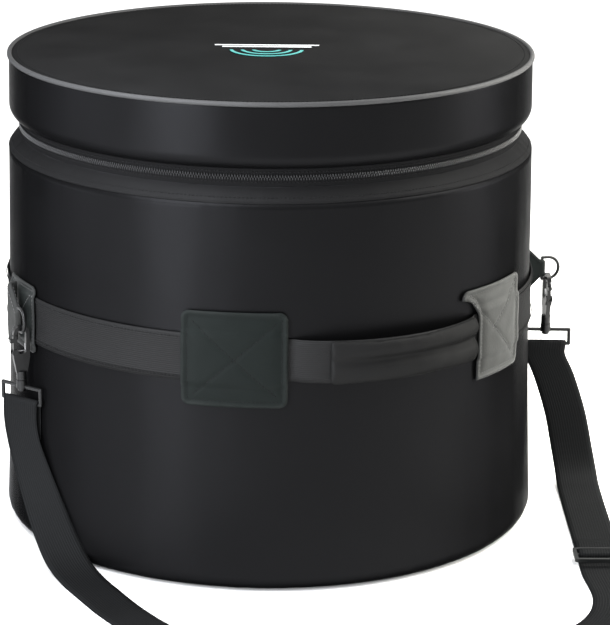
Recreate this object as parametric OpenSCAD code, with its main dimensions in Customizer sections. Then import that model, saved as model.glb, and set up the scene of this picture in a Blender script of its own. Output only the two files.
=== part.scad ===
// Round padded soft case for a drum or similar instrument: zip-on lid, two carrying handles,
// side webbing with strap rings, and an adjustable shoulder strap that lies on the floor.
// Frame: millimetres, +Z up, origin at the centre of the underside, front handle facing -Y.
// Angles round the case are counted from the front (-Y) towards +X.

/* [Case] */
// Outer radius of the lid
lid_r = 240; // [220:1:260]
// Outer radius of the body just under the zip
body_r_top = 242; // [222:1:262]
// Outer radius of the body at the floor, a little wider because the foam relaxes
body_r_bottom = 245; // [225:1:265]
// How much wider the lid is at its lower edge than at the piping
lid_flare = 0.5; // [0.3:0.1:1]
// Overall height with the lid closed
case_h = 437; // [420:1:470]
// Height of the zip line above the floor
zip_z = 370; // [355:1:385]
// Radius of the soft rounding next to the zip
shoulder_r = 13; // [13:0.5:14]
// Radius of the soft rounding at the floor
floor_r = 14; // [13:0.5:18]

/* [Fabric] */
// Thickness of the outer cloth
cloth_t = 1.2; // [0.8:0.1:1.6]
// Thickness of the lining cloth
lining_t = 1; // [0.6:0.1:1.4]
// Thickness of the foam in the body wall and base
body_foam_t = 9.7; // [8:0.1:10.5]
// Thickness of the foam in the lid band
lid_foam_t = 7.6; // [6:0.1:8.5]
// Space left between two sewn layers
seam = 0.1; // [0.05:0.05:0.2]
// Radius of the piping round the lid
piping_r = 2.2; // [1.5:0.1:3]

/* [Webbing and leather] */
// Height of the middle of the side webbing above the floor
belt_z = 212; // [190:1:230]
// Width of the side webbing
belt_w = 43; // [38:1:50]
// Thickness of the side webbing
belt_t = 1.5; // [1:0.1:2]
// Width of a leather handle patch
patch_w = 92; // [80:1:100]
// Height of a leather handle patch
patch_h = 85; // [75:1:95]
// Thickness of the leather over the webbing
patch_t = 1.7; // [1.2:0.1:2.5]
// Angle of each handle patch from the middle of its handle
patch_at = 31; // [28:0.5:34]

/* [Handles] */
// Width of the handle webbing
handle_w = 38; // [30:1:42]
// Height of the padded grip
grip_h = 45; // [38:1:50]
// Thickness of the padded grip
grip_t = 11; // [8:0.5:14]
// How far the handle bows out from the case
handle_bow = 14; // [12:0.5:20]

/* [Strap hardware] */
// Angle at which the right strap ring is sewn
right_ring_at = 80; // [78:1:84]
// Radius of the ring wire
ring_wire = 1.5; // [1.2:0.1:2]
// Radius of the round part of a strap ring, to the middle of the wire
ring_bend = 10.5; // [10:0.5:13]
// Width of the shoulder strap
strap_w = 40; // [38:1:44]
// Thickness of the shoulder strap
strap_t = 1.6; // [1.2:0.1:2]

/* [Hidden] */
$fn = 96;

// Heights and radii worked out from the driving sizes.
neck_gap = 7;                                // from the zip line to either rounded edge
shoulder_top = zip_z - neck_gap;
shoulder_z = shoulder_top - shoulder_r;
lid_low = zip_z + neck_gap;
lid_arc_z = lid_low + shoulder_r;
wall_t = cloth_t + body_foam_t + lining_t + 2 * seam;
lid_wall_t = cloth_t + lid_foam_t + lining_t + 2 * seam;
base_foam_z = cloth_t + seam;
base_top = base_foam_z + body_foam_t + seam; // underside of the base lining
tape_out = lid_r - lid_wall_t - seam;        // outer face of the zip tape
tape_t = 1;
tape_in = tape_out - tape_t;
neck_r = tape_out + seam;                    // where the outer cloth ends at the zip
tape_h = 18;
coil_r = 0.8;
coil_gap = 2;                                // space between the two rows of teeth
hinge_half = 20;                             // half angle of the cloth hinge at the back
zip_end = 180 - hinge_half - 2;              // where each zip end stop sits
big = 600;

// Radius of the case's outer cloth at height z.
function case_r(z) = body_r_bottom
    + (body_r_top - body_r_bottom) * (z - floor_r) / (shoulder_z - floor_r);
// Point at radius r and angle a, counted from the front.
function at(r, a) = [r * sin(a), -r * cos(a)];

// Turns children, modelled facing the front, to angle a.
module facing(a) { rotate([0, 0, a]) children(); }

// Revolves a profile between two angles counted from the front.
module sweep_between(a0, a1) {
    rotate([0, 0, a0 - 90]) rotate_extrude(angle = a1 - a0) children();
}

/* ---------- outlines of the padded walls ---------- */

// Section of the body, inset by d from its outer cloth.
module body_outline(d) {
    polygon([[0, d], [body_r_bottom - floor_r, d], [body_r_bottom - d, floor_r],
             [body_r_top - d, shoulder_z], [body_r_top - shoulder_r, shoulder_top - d],
             [0, shoulder_top - d]]);
    translate([body_r_bottom - floor_r, floor_r]) circle(floor_r - d);
    translate([body_r_top - shoulder_r, shoulder_z]) circle(shoulder_r - d);
}

// Section of the lid, inset by d from its outer cloth.
module lid_outline(d) {
    polygon([[0, case_h - d], [lid_r - d, case_h - d], [lid_r + lid_flare - d, lid_arc_z],
             [lid_r + lid_flare - shoulder_r, lid_low + d], [0, lid_low + d]]);
    translate([lid_r + lid_flare - shoulder_r, lid_arc_z]) circle(shoulder_r - d);
}

// Everything outside radius r between two heights.
module beyond(r, z0, z1) { translate([r, z0]) square([big, z1 - z0]); }

module body_cloth() color("#1f2021") rotate_extrude() difference() {
    intersection() {
        body_outline(0);
        union() {
            beyond(body_r_bottom - floor_r, 0, floor_r);
            beyond(neck_r, floor_r, shoulder_top);
        }
    }
    body_outline(cloth_t);
    translate([0, floor_r]) square([neck_r, shoulder_top]);
}

module body_foam() color("#3a3a3c") rotate_extrude() intersection() {
    body_outline(cloth_t + seam);
    union() {
        polygon([[body_r_bottom - wall_t + lining_t + seam, base_top],
                 [big, base_top], [big, shoulder_top],
                 [body_r_top - wall_t + lining_t + seam, shoulder_top],
                 [body_r_top - wall_t + lining_t + seam, shoulder_z]]);
        beyond(body_r_bottom - floor_r + seam, 0, base_top);
    }
}
module body_lining() color("#2b2b2d") rotate_extrude() intersection() {
    body_outline(cloth_t + 2 * seam);
    polygon([[body_r_bottom - wall_t, base_top], [body_r_bottom - wall_t + lining_t, base_top],
             [body_r_top - wall_t + lining_t, shoulder_z],
             [body_r_top - wall_t + lining_t, shoulder_top],
             [body_r_top - wall_t, shoulder_top], [body_r_top - wall_t, shoulder_z]]);
}

// Flat round layer between two heights.
module disc(r, z, t) { translate([0, 0, z]) cylinder(r = r, h = t, $fn = 192); }

module base_cloth() color("#1c1c1d") disc(body_r_bottom - floor_r - seam, 0, cloth_t);
module base_foam() color("#3a3a3c") disc(body_r_bottom - floor_r, base_foam_z, body_foam_t);
module base_lining() color("#2b2b2d") disc(body_r_bottom - wall_t - seam, base_top, lining_t);

/* ---------- lid ---------- */
piping_at = lid_r - 0.8;
piping_z = case_h - 2;
lid_cloth_r = piping_at - piping_r - seam;
lid_foam_z = case_h - cloth_t - seam - body_foam_t;
lid_inner = lid_r - lid_wall_t;

module lid_top_cloth() color("#2a2a2b") disc(lid_cloth_r, case_h - cloth_t, cloth_t);
module lid_top_foam() color("#3a3a3c") disc(lid_inner - seam, lid_foam_z, body_foam_t);
module lid_top_lining() color("#2b2b2d")
    disc(lid_inner - seam, lid_foam_z - seam - lining_t, lining_t);
module lid_band_cloth() color("#222223") rotate_extrude() difference() {
    intersection() {
        lid_outline(0);
        beyond(neck_r, lid_low, piping_z - piping_r - seam);
    }
    lid_outline(cloth_t);
}
module lid_band_foam() color("#3a3a3c") rotate_extrude() intersection() {
    lid_outline(cloth_t + seam);
    beyond(lid_inner + lining_t + seam, lid_low, piping_z - piping_r - seam);
}
module lid_band_lining() color("#2b2b2d") rotate_extrude() intersection() {
    lid_outline(cloth_t + 2 * seam);
    translate([lid_inner, lid_low]) square([lining_t, piping_z - piping_r - seam - lid_low]);
}
module lid_piping() color("#6b6c6e") rotate_extrude(convexity = 4)
    translate([piping_at, piping_z]) circle(piping_r, $fn = 24);

// Generic mark on the lid: two plain bars and three ripples.
emblem_turn = -24.5;
emblem_t = 0.4;
emblem_line = 3;
module on_lid() {
    facing(emblem_turn) translate([-4, -14, case_h]) linear_extrude(emblem_t) children();
}
module lid_emblem_bars() color("#e9ecec") on_lid() for (i = [0, 1])
    translate([-48 + 7 * i, 26 - 8 * i]) square([96 - 14 * i, emblem_line]);
module lid_emblem_ripples() color("#2fa39b") on_lid() for (r = [14, 24, 34])
    intersection() {
        translate([0, 8]) difference() {
            circle(r);
            circle(r - emblem_line);
        }
        translate([-40, -34]) square([80, 38]);
    }

/* ---------- zip ---------- */
module zip_tape_lower() color("#262627") difference() {
    rotate_extrude() translate([tape_in, zip_z - coil_gap / 2 - tape_h])
        square([tape_t, tape_h]);
    back_sector(hinge_half);
}
module zip_tape_upper() color("#262627") difference() {
    rotate_extrude() translate([tape_in, zip_z + coil_gap / 2]) square([tape_t, tape_h]);
    back_sector(hinge_half);
}
// Wedge at the back that is half_angle wide on each side.
module back_sector(half_angle) {
    linear_extrude(big)
        polygon([[0, 0], [-big * tan(half_angle), big], [big * tan(half_angle), big]]);
}
module coil_row(z) {
    sweep_between(-zip_end, zip_end)
        translate([tape_out + seam + coil_r, z]) circle(coil_r, $fn = 16);
}
module zip_coil_lower() color("#343436") coil_row(zip_z - coil_gap / 2 - coil_r);
module zip_coil_upper() color("#343436") coil_row(zip_z + coil_gap / 2 + coil_r);
module zip_stops() color("#707376") for (side = [-1, 1]) facing(side * (zip_end + 1))
    translate([-1.5, -tape_out - 2, zip_z - 6]) cube([3, 1.9, 5]);

// Cloth hinge at the back, from the body wall up to just under the lid.
hinge_low = zip_z - coil_gap / 2 - tape_h;
module hinge_panel() color("#232324") sweep_between(180 - hinge_half + 0.3, 180 + hinge_half - 0.3)
    translate([tape_in, hinge_low]) square([tape_t, lid_low - 1 - hinge_low]);

// Zip sliders: two plates joined by a post that runs between the two rows of teeth.
slider_half = 6;
slider_h = 10;
plate_t = 1.4;
plate_in = tape_in - 0.5 - plate_t;
plate_out = tape_out + 2 * coil_r + 0.8;
post_h = 1.3;
lug_h = 2;
lug_r = 1.8;
lug_gap = 3;                                 // space between the two lugs
pull_pin = 0.8;
pin_hole = 0.88;
pull_at = plate_out + plate_t + 1.6;         // radius of the pull's pin
module slider(at_angle) {
    facing(at_angle) difference() {
        union() {
            for (r = [plate_in, plate_out])
                translate([-slider_half, -r - plate_t, zip_z - slider_h / 2])
                    cube([2 * slider_half, plate_t, slider_h]);
            translate([-2, -plate_out - 0.5, zip_z - post_h / 2])
                cube([4, plate_out - plate_in - plate_t + 1, post_h]);
            for (side = [-1, 1]) translate([0, 0, zip_z + side * (lug_gap + lug_h) / 2]) {
                translate([-lug_r, -pull_at, -lug_h / 2])
                    cube([2 * lug_r, pull_at - plate_out, lug_h]);
                translate([0, -pull_at, -lug_h / 2]) cylinder(r = lug_r, h = lug_h, $fn = 32);
            }
        }
        translate([0, -pull_at, zip_z - slider_h])
            cylinder(r = pin_hole, h = 2 * slider_h, $fn = 32);
    }
}
// Pull tab on its upright pin, lying along the zip towards side * tangent.
pull_len = 26;
pull_h = 8;
module pull(at_angle, side) {
    facing(at_angle) translate([0, -pull_at, zip_z]) {
        translate([0, 0, -lug_gap / 2 - lug_h])
            cylinder(r = pull_pin, h = lug_gap + 2 * lug_h, $fn = 32);
        translate([0, 0, -lug_gap / 2 + 0.25]) cylinder(r = 1.6, h = lug_gap - 0.5, $fn = 32);
        scale([side, 1, 1]) {
            translate([0, -0.8, -lug_gap / 2 + 0.25]) cube([6, 1.6, lug_gap - 0.5]);
            difference() {
                translate([5, -0.8, -pull_h / 2]) cube([pull_len, 1.6, pull_h]);
                translate([5 + pull_len - 5, -2, 0]) rotate([-90, 0, 0])
                    cylinder(r = 2.2, h = 4, $fn = 32);
            }
        }
    }
}
slider_a_at = 107;
slider_b_at = 102;
module zip_slider_a() color("#5f6266") slider(slider_a_at);
module zip_slider_b() color("#5f6266") slider(slider_b_at);
module zip_pull_a() color("#4a4c50") pull(slider_a_at, 1);
module zip_pull_b() color("#4a4c50") pull(slider_b_at, -1);

/* ---------- side webbing and leather ---------- */

// Band that follows the case wall from height z0 to z1, from d0 to d1 outside it.
module wall_band(z0, z1, d0, d1) {
    polygon([[case_r(z0) + d0, z0], [case_r(z0) + d1, z0],
             [case_r(z1) + d1, z1], [case_r(z1) + d0, z1]]);
}
belt_lo = belt_z - belt_w / 2;
belt_hi = belt_z + belt_w / 2;
belt_out = seam + belt_t;
module belt(a0, a1) { sweep_between(a0, a1) wall_band(belt_lo, belt_hi, seam, belt_out); }
module belt_right() color("#39393b") belt(patch_at, 180 - patch_at);
module belt_left() color("#39393b") belt(180 + patch_at, 360 - patch_at);

// Flat rectangle with round corners, centred.
module round_rect(w, h, r) {
    square([w - 2 * r, h], center = true);
    square([w, h - 2 * r], center = true);
    for (x = [-1, 1], y = [-1, 1])
        translate([x * (w / 2 - r), y * (h / 2 - r)]) circle(r, $fn = 32);
}
// Leather wrapped on the wall over the webbing, cut to the flat outline given as children.
leather_out = belt_out + seam + patch_t;
module leather(at_angle, h, half_angle) {
    difference() {
        intersection() {
            sweep_between(at_angle - half_angle, at_angle + half_angle)
                wall_band(belt_z - h / 2 - 1, belt_z + h / 2 + 1, seam, leather_out);
            facing(at_angle) translate([0, 0, belt_z]) rotate([90, 0, 0])
                linear_extrude(big) children();
        }
        sweep_between(at_angle - half_angle - 1, at_angle + half_angle + 1)
            wall_band(belt_lo - seam, belt_hi + seam, -1, belt_out + seam);
    }
}
// Handle patch; the cut patch has a mouth on the side where the grip slips under it.
mouth_w = 20;
mouth_top = 24;
module handle_patch(at_angle, cut) {
    leather(at_angle, patch_h, 15) difference() {
        round_rect(patch_w, patch_h, 7);
        if (cut) {
            translate([-patch_w / 2 - 1, -patch_h / 2 - 1])
                square([mouth_w + 1, patch_h / 2 + mouth_top - mouth_w / 2 + 1]);
            translate([-patch_w / 2, mouth_top - mouth_w / 2]) circle(mouth_w, $fn = 48);
        }
    }
}
module patch_front_left() color("#2e302f") handle_patch(-patch_at, false);
module patch_front_right() color("#565857") handle_patch(patch_at, true);
module patch_back_right() color("#3c3e3d") handle_patch(180 - patch_at, false);
module patch_back_left() color("#3c3e3d") handle_patch(180 + patch_at, true);

ring_patch_w = 62;
ring_patch_h = 62;
left_ring_at = -90;
module ring_patch(at_angle) {
    leather(at_angle, ring_patch_h, 10) round_rect(ring_patch_w, ring_patch_h, 6);
}
module ring_patch_right() color("#4a4c4b") ring_patch(right_ring_at);
module ring_patch_left() color("#4a4c4b") ring_patch(left_ring_at);

/* ---------- strap rings and their tabs ---------- */
// The ring's straight bar stands upright in the fold of the tab. In the local frame
// the tab runs along +X from the case to the bar, and the bar is on the Z axis.
tab_t = 6;
tab_reach = 22;
tab_base_h = 56;
tab_tip_h = 17;
bar_hole = ring_wire + 0.1;
tab_tip_r = 3;
module tab_blade() {
    difference() {
        union() {
            rotate([90, 0, 0]) linear_extrude(tab_t, center = true)
                polygon([[-tab_reach, -tab_base_h / 2], [-tab_reach, tab_base_h / 2],
                         [-2, tab_tip_h / 2], [-2, -tab_tip_h / 2]]);
            translate([-2.1, -tab_t / 2, -tab_tip_h / 2]) cube([2.1, tab_t, tab_tip_h]);
            cylinder(r = tab_tip_r, h = tab_tip_h, center = true, $fn = 48);
        }
        cylinder(r = bar_hole, h = tab_base_h + 2, center = true, $fn = 48);
    }
}
ring_leg = 6;                                // straight leg between the bar and the round part
module strap_ring() {
    cylinder(r = ring_wire, h = 2 * ring_bend, center = true, $fn = 32);
    for (side = [-1, 1]) translate([0, 0, side * ring_bend]) {
        sphere(ring_wire, $fn = 32);
        rotate([0, 90, 0]) cylinder(r = ring_wire, h = ring_leg, $fn = 32);
    }
    translate([ring_leg, 0, 0]) rotate([90, 0, 0]) rotate([0, 0, -90])
        rotate_extrude(angle = 180) translate([ring_bend, 0]) circle(ring_wire, $fn = 32);
}
// Where the ring bars stand, and which way each tab points.
leather_face = case_r(belt_z) + leather_out + 0.2;
right_bar = at(leather_face + tab_reach, right_ring_at);
right_tab_turn = right_ring_at - 90;
left_bar = [-254.6, -18];
left_tab_turn = -90;
module at_right_bar() {
    translate([right_bar[0], right_bar[1], belt_z]) rotate([0, 0, right_tab_turn]) children();
}
module at_left_bar() {
    translate([left_bar[0], left_bar[1], belt_z]) rotate([0, 0, left_tab_turn]) children();
}
module ring_tab_right() color("#232425") at_right_bar() tab_blade();
// The left tab lies forwards along the case, so its foot turns in to the leather.
tab_foot = 5;
module ring_tab_left() color("#4b4d4d") {
    at_left_bar() tab_blade();
    difference() {
        translate([left_bar[0] - tab_t / 2, left_bar[1] + tab_reach - 0.5, belt_z - tab_base_h / 2])
            cube([tab_t / 2 + abs(left_bar[0]) - leather_face + tab_foot, tab_foot, tab_base_h]);
        rotate_extrude() wall_band(0, 2 * belt_z, -60, leather_out + 0.05);
    }
}
module strap_ring_right() color("#3a3b3d") at_right_bar() strap_ring();
module strap_ring_left() color("#3a3b3d") at_left_bar() strap_ring();

/* ---------- handles ---------- */
// In plan the webbing leaves one patch, bows out and goes back under the other. Its ends
// meet the side webbing under the middle of each patch.
handle_end = patch_at - 0.5;
handle_t = 1.2;
bow_from = -18.6;
bow_to = 23.7;
grip_from = -12;
grip_to = 23;
grip_core_t = 2;                             // slot in the grip for the webbing
function bow(a) = let (t = (a - bow_from) / (bow_to - bow_from))
    handle_bow * pow(sin(180 * max(0, min(1, t))), 0.6);
function handle_r(a) = case_r(belt_z) + 0.25 + handle_t / 2 + bow(a);
function grip_inside(a) = max(handle_r(a) - grip_t / 2, case_r(belt_z) + 1);
// Closed outline between an outer and an inner list of radii over the same angles.
function spread(a0, a1, steps) = [for (i = [0:steps]) a0 + (a1 - a0) * i / steps];
function strip(angles, half) = concat([for (a = angles) at(handle_r(a) + half, a)],
    [for (i = [len(angles) - 1:-1:0]) at(handle_r(angles[i]) - half, angles[i])]);
function grip_outline(angles) = concat([for (a = angles) at(handle_r(a) + grip_t / 2, a)],
    [for (i = [len(angles) - 1:-1:0]) at(grip_inside(angles[i]), angles[i])]);
module handle_webbing(turn) {
    facing(turn) translate([0, 0, belt_z - handle_w / 2]) linear_extrude(handle_w)
        polygon(strip(spread(-handle_end, handle_end, 36), handle_t / 2));
}
module handle_grip(turn) {
    facing(turn) difference() {
        translate([0, 0, belt_z - grip_h / 2]) linear_extrude(grip_h)
            polygon(grip_outline(spread(grip_from, grip_to, 20)));
        translate([0, 0, belt_z - handle_w / 2 - seam]) linear_extrude(handle_w + 2 * seam)
            polygon(strip(spread(grip_from - 1, grip_to + 1, 22), grip_core_t / 2));
    }
}
module handle_front_webbing() color("#3d3d3f") handle_webbing(0);
module handle_front_grip() color("#2b2b2c") handle_grip(0);
module handle_back_webbing() color("#3d3d3f") handle_webbing(180);
module handle_back_grip() color("#2b2b2c") handle_grip(180);

/* ---------- snap hooks ---------- */
// Local frame of a hook: the ring's wire runs along Y through the origin, the hook hangs down.
hook_t = 4.4;
eye_in = 4.2;
eye_out = 7.6;
eye_top = ring_wire + 0.7 - eye_in;          // centre of the rounded top of the eye
eye_low = -17;
gate_x = (eye_in + eye_out) / 2;
gate_half = (eye_out - eye_in) / 2;
gate_pivot_z = -19;
gate_tip_z = -4.6;
gate_pin = 1;
swivel_r = 2.4;
boss_r = 5;
loop_top = -51;
loop_bottom = -65;
loop_wire = 1.8;
loop_half = strap_w / 2 + 1 + loop_wire;
boss_top = -45;
boss_low = loop_top - loop_wire;

module hook_frame() {
    rotate([90, 0, 0]) linear_extrude(hook_t, center = true) difference() {
        union() {
            translate([0, eye_top]) circle(eye_out, $fn = 64);
            translate([-eye_out, -24]) square([2 * eye_out, 24 + eye_top]);
            polygon([[-eye_out, -24], [eye_out, -24], [5, -38], [-5, -38]]);
        }
        translate([0, eye_top]) circle(eye_in, $fn = 64);
        translate([-eye_in, eye_low]) square([2 * eye_in, eye_top - eye_low]);
        translate([0, eye_low]) circle(eye_in, $fn = 64);
        // opening on one side that the gate closes
        translate([0, gate_pivot_z]) square([big, gate_tip_z + gate_half + 0.5 - gate_pivot_z]);
        translate([gate_x, gate_pivot_z]) circle(gate_half + 0.9, $fn = 48);
    }
}
module hook() {
    difference() {
        union() {
            hook_frame();
            translate([0, 0, -44.6]) cylinder(r = 4.6, h = 8, $fn = 48);
            translate([0, 0, boss_low - 0.6]) cylinder(r = swivel_r - 0.06, h = 12, $fn = 48);
            translate([0, 0, boss_low - 2.4]) cylinder(r = 3.6, h = 2, $fn = 48);
            // cheeks that carry the gate's pin
            for (side = [-1, 1]) translate([gate_x, side * (hook_t / 2 + 0.5), gate_pivot_z])
                rotate([90, 0, 0]) cylinder(r = gate_half + 1.4, h = 1, center = true, $fn = 48);
            for (side = [-1, 1]) translate([-1, side * (hook_t / 2 + 0.5) - 0.5, gate_pivot_z - 6])
                cube([gate_x + 2, 1, 5]);
        }
        translate([gate_x, 0, gate_pivot_z]) rotate([90, 0, 0])
            cylinder(r = gate_pin + 0.08, h = 20, center = true, $fn = 32);
    }
}
// Gate lever with its thumb stub and the pin it turns on.
module gate() {
    rotate([90, 0, 0]) linear_extrude(hook_t - 0.8, center = true) {
        translate([gate_x, gate_pivot_z]) circle(gate_half, $fn = 48);
        translate([gate_x, gate_tip_z]) circle(gate_half, $fn = 48);
        translate([gate_x - gate_half, gate_pivot_z])
            square([2 * gate_half, gate_tip_z - gate_pivot_z]);
        translate([gate_x, gate_tip_z - 5]) square([4.6, 3]);
    }
    translate([gate_x, 0, gate_pivot_z]) rotate([90, 0, 0])
        cylinder(r = gate_pin, h = hook_t + 2, center = true, $fn = 32);
}
// Small leaf spring inside the eye: its back lies on the far wall, and its toe reaches the
// gate's heel, next to the pin.
spring_t = 0.5;
spring_w = 2;
spring_low = eye_low - 0.9;
module gate_spring() {
    translate([-eye_in + 0.05, -spring_w / 2, spring_low + spring_t - 0.05])
        cube([spring_t, spring_w, 6]);
    translate([-eye_in + 0.15, -spring_w / 2, spring_low]) cube([2 * eye_in - 0.8, spring_w, spring_t]);
}
// Flat loop for the webbing, with the boss that the hook swivels in.
module strap_loop() {
    difference() {
        union() {
            for (z = [loop_top, loop_bottom]) translate([0, 0, z]) rotate([0, 90, 0])
                cylinder(r = loop_wire, h = 2 * loop_half, center = true, $fn = 32);
            for (side = [-1, 1]) translate([side * loop_half, 0, loop_bottom]) {
                cylinder(r = loop_wire, h = loop_top - loop_bottom, $fn = 32);
                sphere(loop_wire, $fn = 32);
                translate([0, 0, loop_top - loop_bottom]) sphere(loop_wire, $fn = 32);
            }
            translate([0, 0, boss_low]) cylinder(r = boss_r, h = boss_top - boss_low, $fn = 48);
        }
        translate([0, 0, boss_low - 1]) cylinder(r = swivel_r, h = 20, $fn = 48);
    }
}
// Where each hook hangs from its ring, which way its eye faces and which way its loop lies.
hook_reach = 5.5;
wire_z = belt_z - ring_bend;
function ahead(p, turn, d) = [p[0] + d * cos(turn), p[1] + d * sin(turn)];
right_hook = ahead(right_bar, right_tab_turn, hook_reach);
left_hook = ahead(left_bar, left_tab_turn, hook_reach);
right_loop_turn = -25;
left_loop_turn = -62;
module right_hang(turn) {
    translate([right_hook[0], right_hook[1], wire_z]) rotate([0, 0, turn]) children();
}
module left_hang(turn) {
    translate([left_hook[0], left_hook[1], wire_z]) rotate([0, 0, turn]) children();
}

module hook_right() color("#2f3032") right_hang(right_tab_turn - 90) hook();
module hook_left() color("#2f3032") left_hang(left_tab_turn - 90) hook();
module hook_gate_right() color("#434548") right_hang(right_tab_turn - 90) gate();
module hook_gate_left() color("#434548") left_hang(left_tab_turn - 90) gate();
module gate_spring_right() color("#8a8d90") right_hang(right_tab_turn - 90) gate_spring();
module gate_spring_left() color("#8a8d90") left_hang(left_tab_turn - 90) gate_spring();
module strap_loop_right() color("#2f3032") right_hang(right_loop_turn) strap_loop();
module strap_loop_left() color("#2f3032") left_hang(left_loop_turn) strap_loop();

/* ---------- shoulder strap ---------- */
// Webbing folded round the lower bar of a loop, with a sewn tail.
fold_in = loop_wire + 0.15;
fold_mid = fold_in + strap_t / 2;            // from the bar's centre to the middle of the webbing
tail_len = 34;
module fold(tail) {
    translate([0, 0, loop_bottom]) {
        rotate([0, 90, 0]) rotate([0, 0, 90]) translate([0, 0, -strap_w / 2])
            rotate_extrude(angle = 180) translate([fold_in, 0]) square([strap_t, strap_w]);
        translate([-strap_w / 2, fold_in, -tail]) cube([strap_w, strap_t, tail]);
    }
}

// Route of the webbing from the left loop, down to the floor, round the front and up to the
// right loop: x, y, z of its middle, then the angle of its width seen from above.
strap_route = [
    [-257, -24.8, 136.4, -62], [-257, -24.8, 118, -62], [-256, -31, 100, -60],
    [-253, -46, 76, -52], [-250, -67, 50, -42], [-247, -89, 26, -30], [-244, -113, 9, -16],
    [-241, -140, 2, -4], [-239, -175, 1.2, 2], [-236, -220, 1.2, 6], [-228, -268, 1.2, 14],
    [-210, -322, 1.2, 30], [-172, -372, 1.2, 46], [-115, -412, 1.2, 62],
    [-45, -436, 1.2, 77], [30, -442, 1.2, 91], [95, -430, 1.2, 108], [140, -404, 1.2, 128],
    [171, -364, 1.2, 146], [192, -308, 1.2, 156], [205, -278, 1.2, 156.4],
    [230, -221, 1.2, 156.4], [255, -163.5, 1.2, 156.4], [275, -118, 1.4, 156.4],
    [286, -92, 4.5, 156], [292, -76, 14, 155], [293, -65, 34, 155], [289, -57, 68, 155],
    [279.5, -50, 104, 155], [271.3, -45.1, 125, 155], [271.3, -45.1, 136, 155]];
last = len(strap_route) - 1;
steps_per_leg = 4;

function blend4(a, b, c, d, t) = 0.5 * (2 * b + (c - a) * t + (2 * a - 5 * b + 4 * c - d) * t * t
    + (3 * b - a - 3 * c + d) * t * t * t);
function clamp_route(i) = strap_route[max(0, min(last, i))];
function along(u) = let (i = min(last - 1, floor(u)))
    blend4(clamp_route(i - 1), clamp_route(i), clamp_route(i + 1), clamp_route(i + 2), u - i);
function place(u) = let (p = along(u)) [p[0], p[1], p[2]];
function unit(v) = v / norm(v);
function heading(u) = unit(place(min(last, u + 0.002)) - place(max(0, u - 0.002)));
function flat_width(u) = let (a = along(u)[3]) [cos(a), sin(a), 0];
function face_normal(u) = unit(cross(heading(u), flat_width(u)));

// Four corners of the webbing's section at u, moved off the route by rise.
function section(u, rise) = let (n = face_normal(u), w = flat_width(u),
    c = place(u) + n * rise, hw = w * strap_w / 2, ht = n * strap_t / 2)
    [c - hw - ht, c + hw - ht, c + hw + ht, c - hw + ht];
module ribbon(stations) {
    count = len(stations);
    polyhedron(
        points = [for (s = stations) each section(s[0], s[1])],
        faces = concat([[0, 1, 2, 3]],
            [for (k = [0:count - 2], j = [0:3], half = [0, 1])
                let (a = 4 * k, b = 4 * (k + 1), n = (j + 1) % 4)
                half == 0 ? [a + j, b + j, b + n] : [a + j, b + n, a + n]],
            [[4 * count - 1, 4 * count - 2, 4 * count - 3, 4 * count - 4]]),
        convexity = 10);
}
module strap_webbing() color("#202122")
    ribbon([for (k = [0:last * steps_per_leg]) [k / steps_per_leg, 0]]);

// Second layer between the adjuster and the right loop, lying on top of the first.
return_from = 20.1;
return_second = 20.5;
layer_rise = strap_t + 0.8;
loop_rise = 2 * fold_mid;
parting = 1.6;                               // legs over which the layers part at the loop
function rise_at(u) = layer_rise
    + (loop_rise - layer_rise) * pow(max(0, min(1, (u - last + 2) / parting)), 2);
return_stations = concat([return_from],
    [for (k = [return_second * steps_per_leg:last * steps_per_leg]) k / steps_per_leg]);
module strap_return() color("#2c3230") ribbon([for (u = return_stations) [u, rise_at(u)]]);
module strap_fold_right() color("#202122") right_hang(right_loop_turn) fold(0.4);
module strap_fold_left() color("#202122") left_hang(left_loop_turn) fold(tail_len);

/* ---------- strap adjuster ---------- */
// Three-bar slide. Local frame: +X runs along the strap towards the right hook.
adjuster_pos = [205, -278];
adjuster_turn = 66.4;
layers_top = 1.2 + strap_t / 2 + layer_rise;
bar_r = 1.5;
wrap_in = bar_r + 0.15;
bar_z = layers_top + 0.3 + strap_t + wrap_in;
adjuster_half_l = 15;
adjuster_half_w = 24.5;
rail_w = 3.6;
adjuster_t = 3.2;
module at_adjuster() {
    translate([adjuster_pos[0], adjuster_pos[1], 0]) rotate([0, 0, adjuster_turn]) children();
}
module strap_adjuster() color("#191a1a") at_adjuster() {
    translate([0, 0, bar_z - adjuster_t / 2]) linear_extrude(adjuster_t) difference() {
        round_rect(2 * adjuster_half_l, 2 * adjuster_half_w, 4);
        square([2 * (adjuster_half_l - rail_w), 2 * (adjuster_half_w - rail_w)], center = true);
    }
    translate([0, 0, bar_z]) rotate([90, 0, 0])
        cylinder(r = bar_r, h = 2 * adjuster_half_w - rail_w, center = true, $fn = 32);
}
// End of the second layer, folded round the adjuster's middle bar and sewn to itself.
wrap_w = strap_w;
module adjuster_fold() color("#262a29") at_adjuster() {
    translate([0, wrap_w / 2, bar_z]) rotate([90, 0, 0]) rotate([0, 0, 90])
        rotate_extrude(angle = 180) translate([wrap_in, 0]) square([strap_t, wrap_w]);
    translate([0, -wrap_w / 2, bar_z - wrap_in - strap_t]) cube([44, wrap_w, strap_t]);
    translate([0, -wrap_w / 2, bar_z + wrap_in]) cube([9, wrap_w, strap_t]);
}

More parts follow.
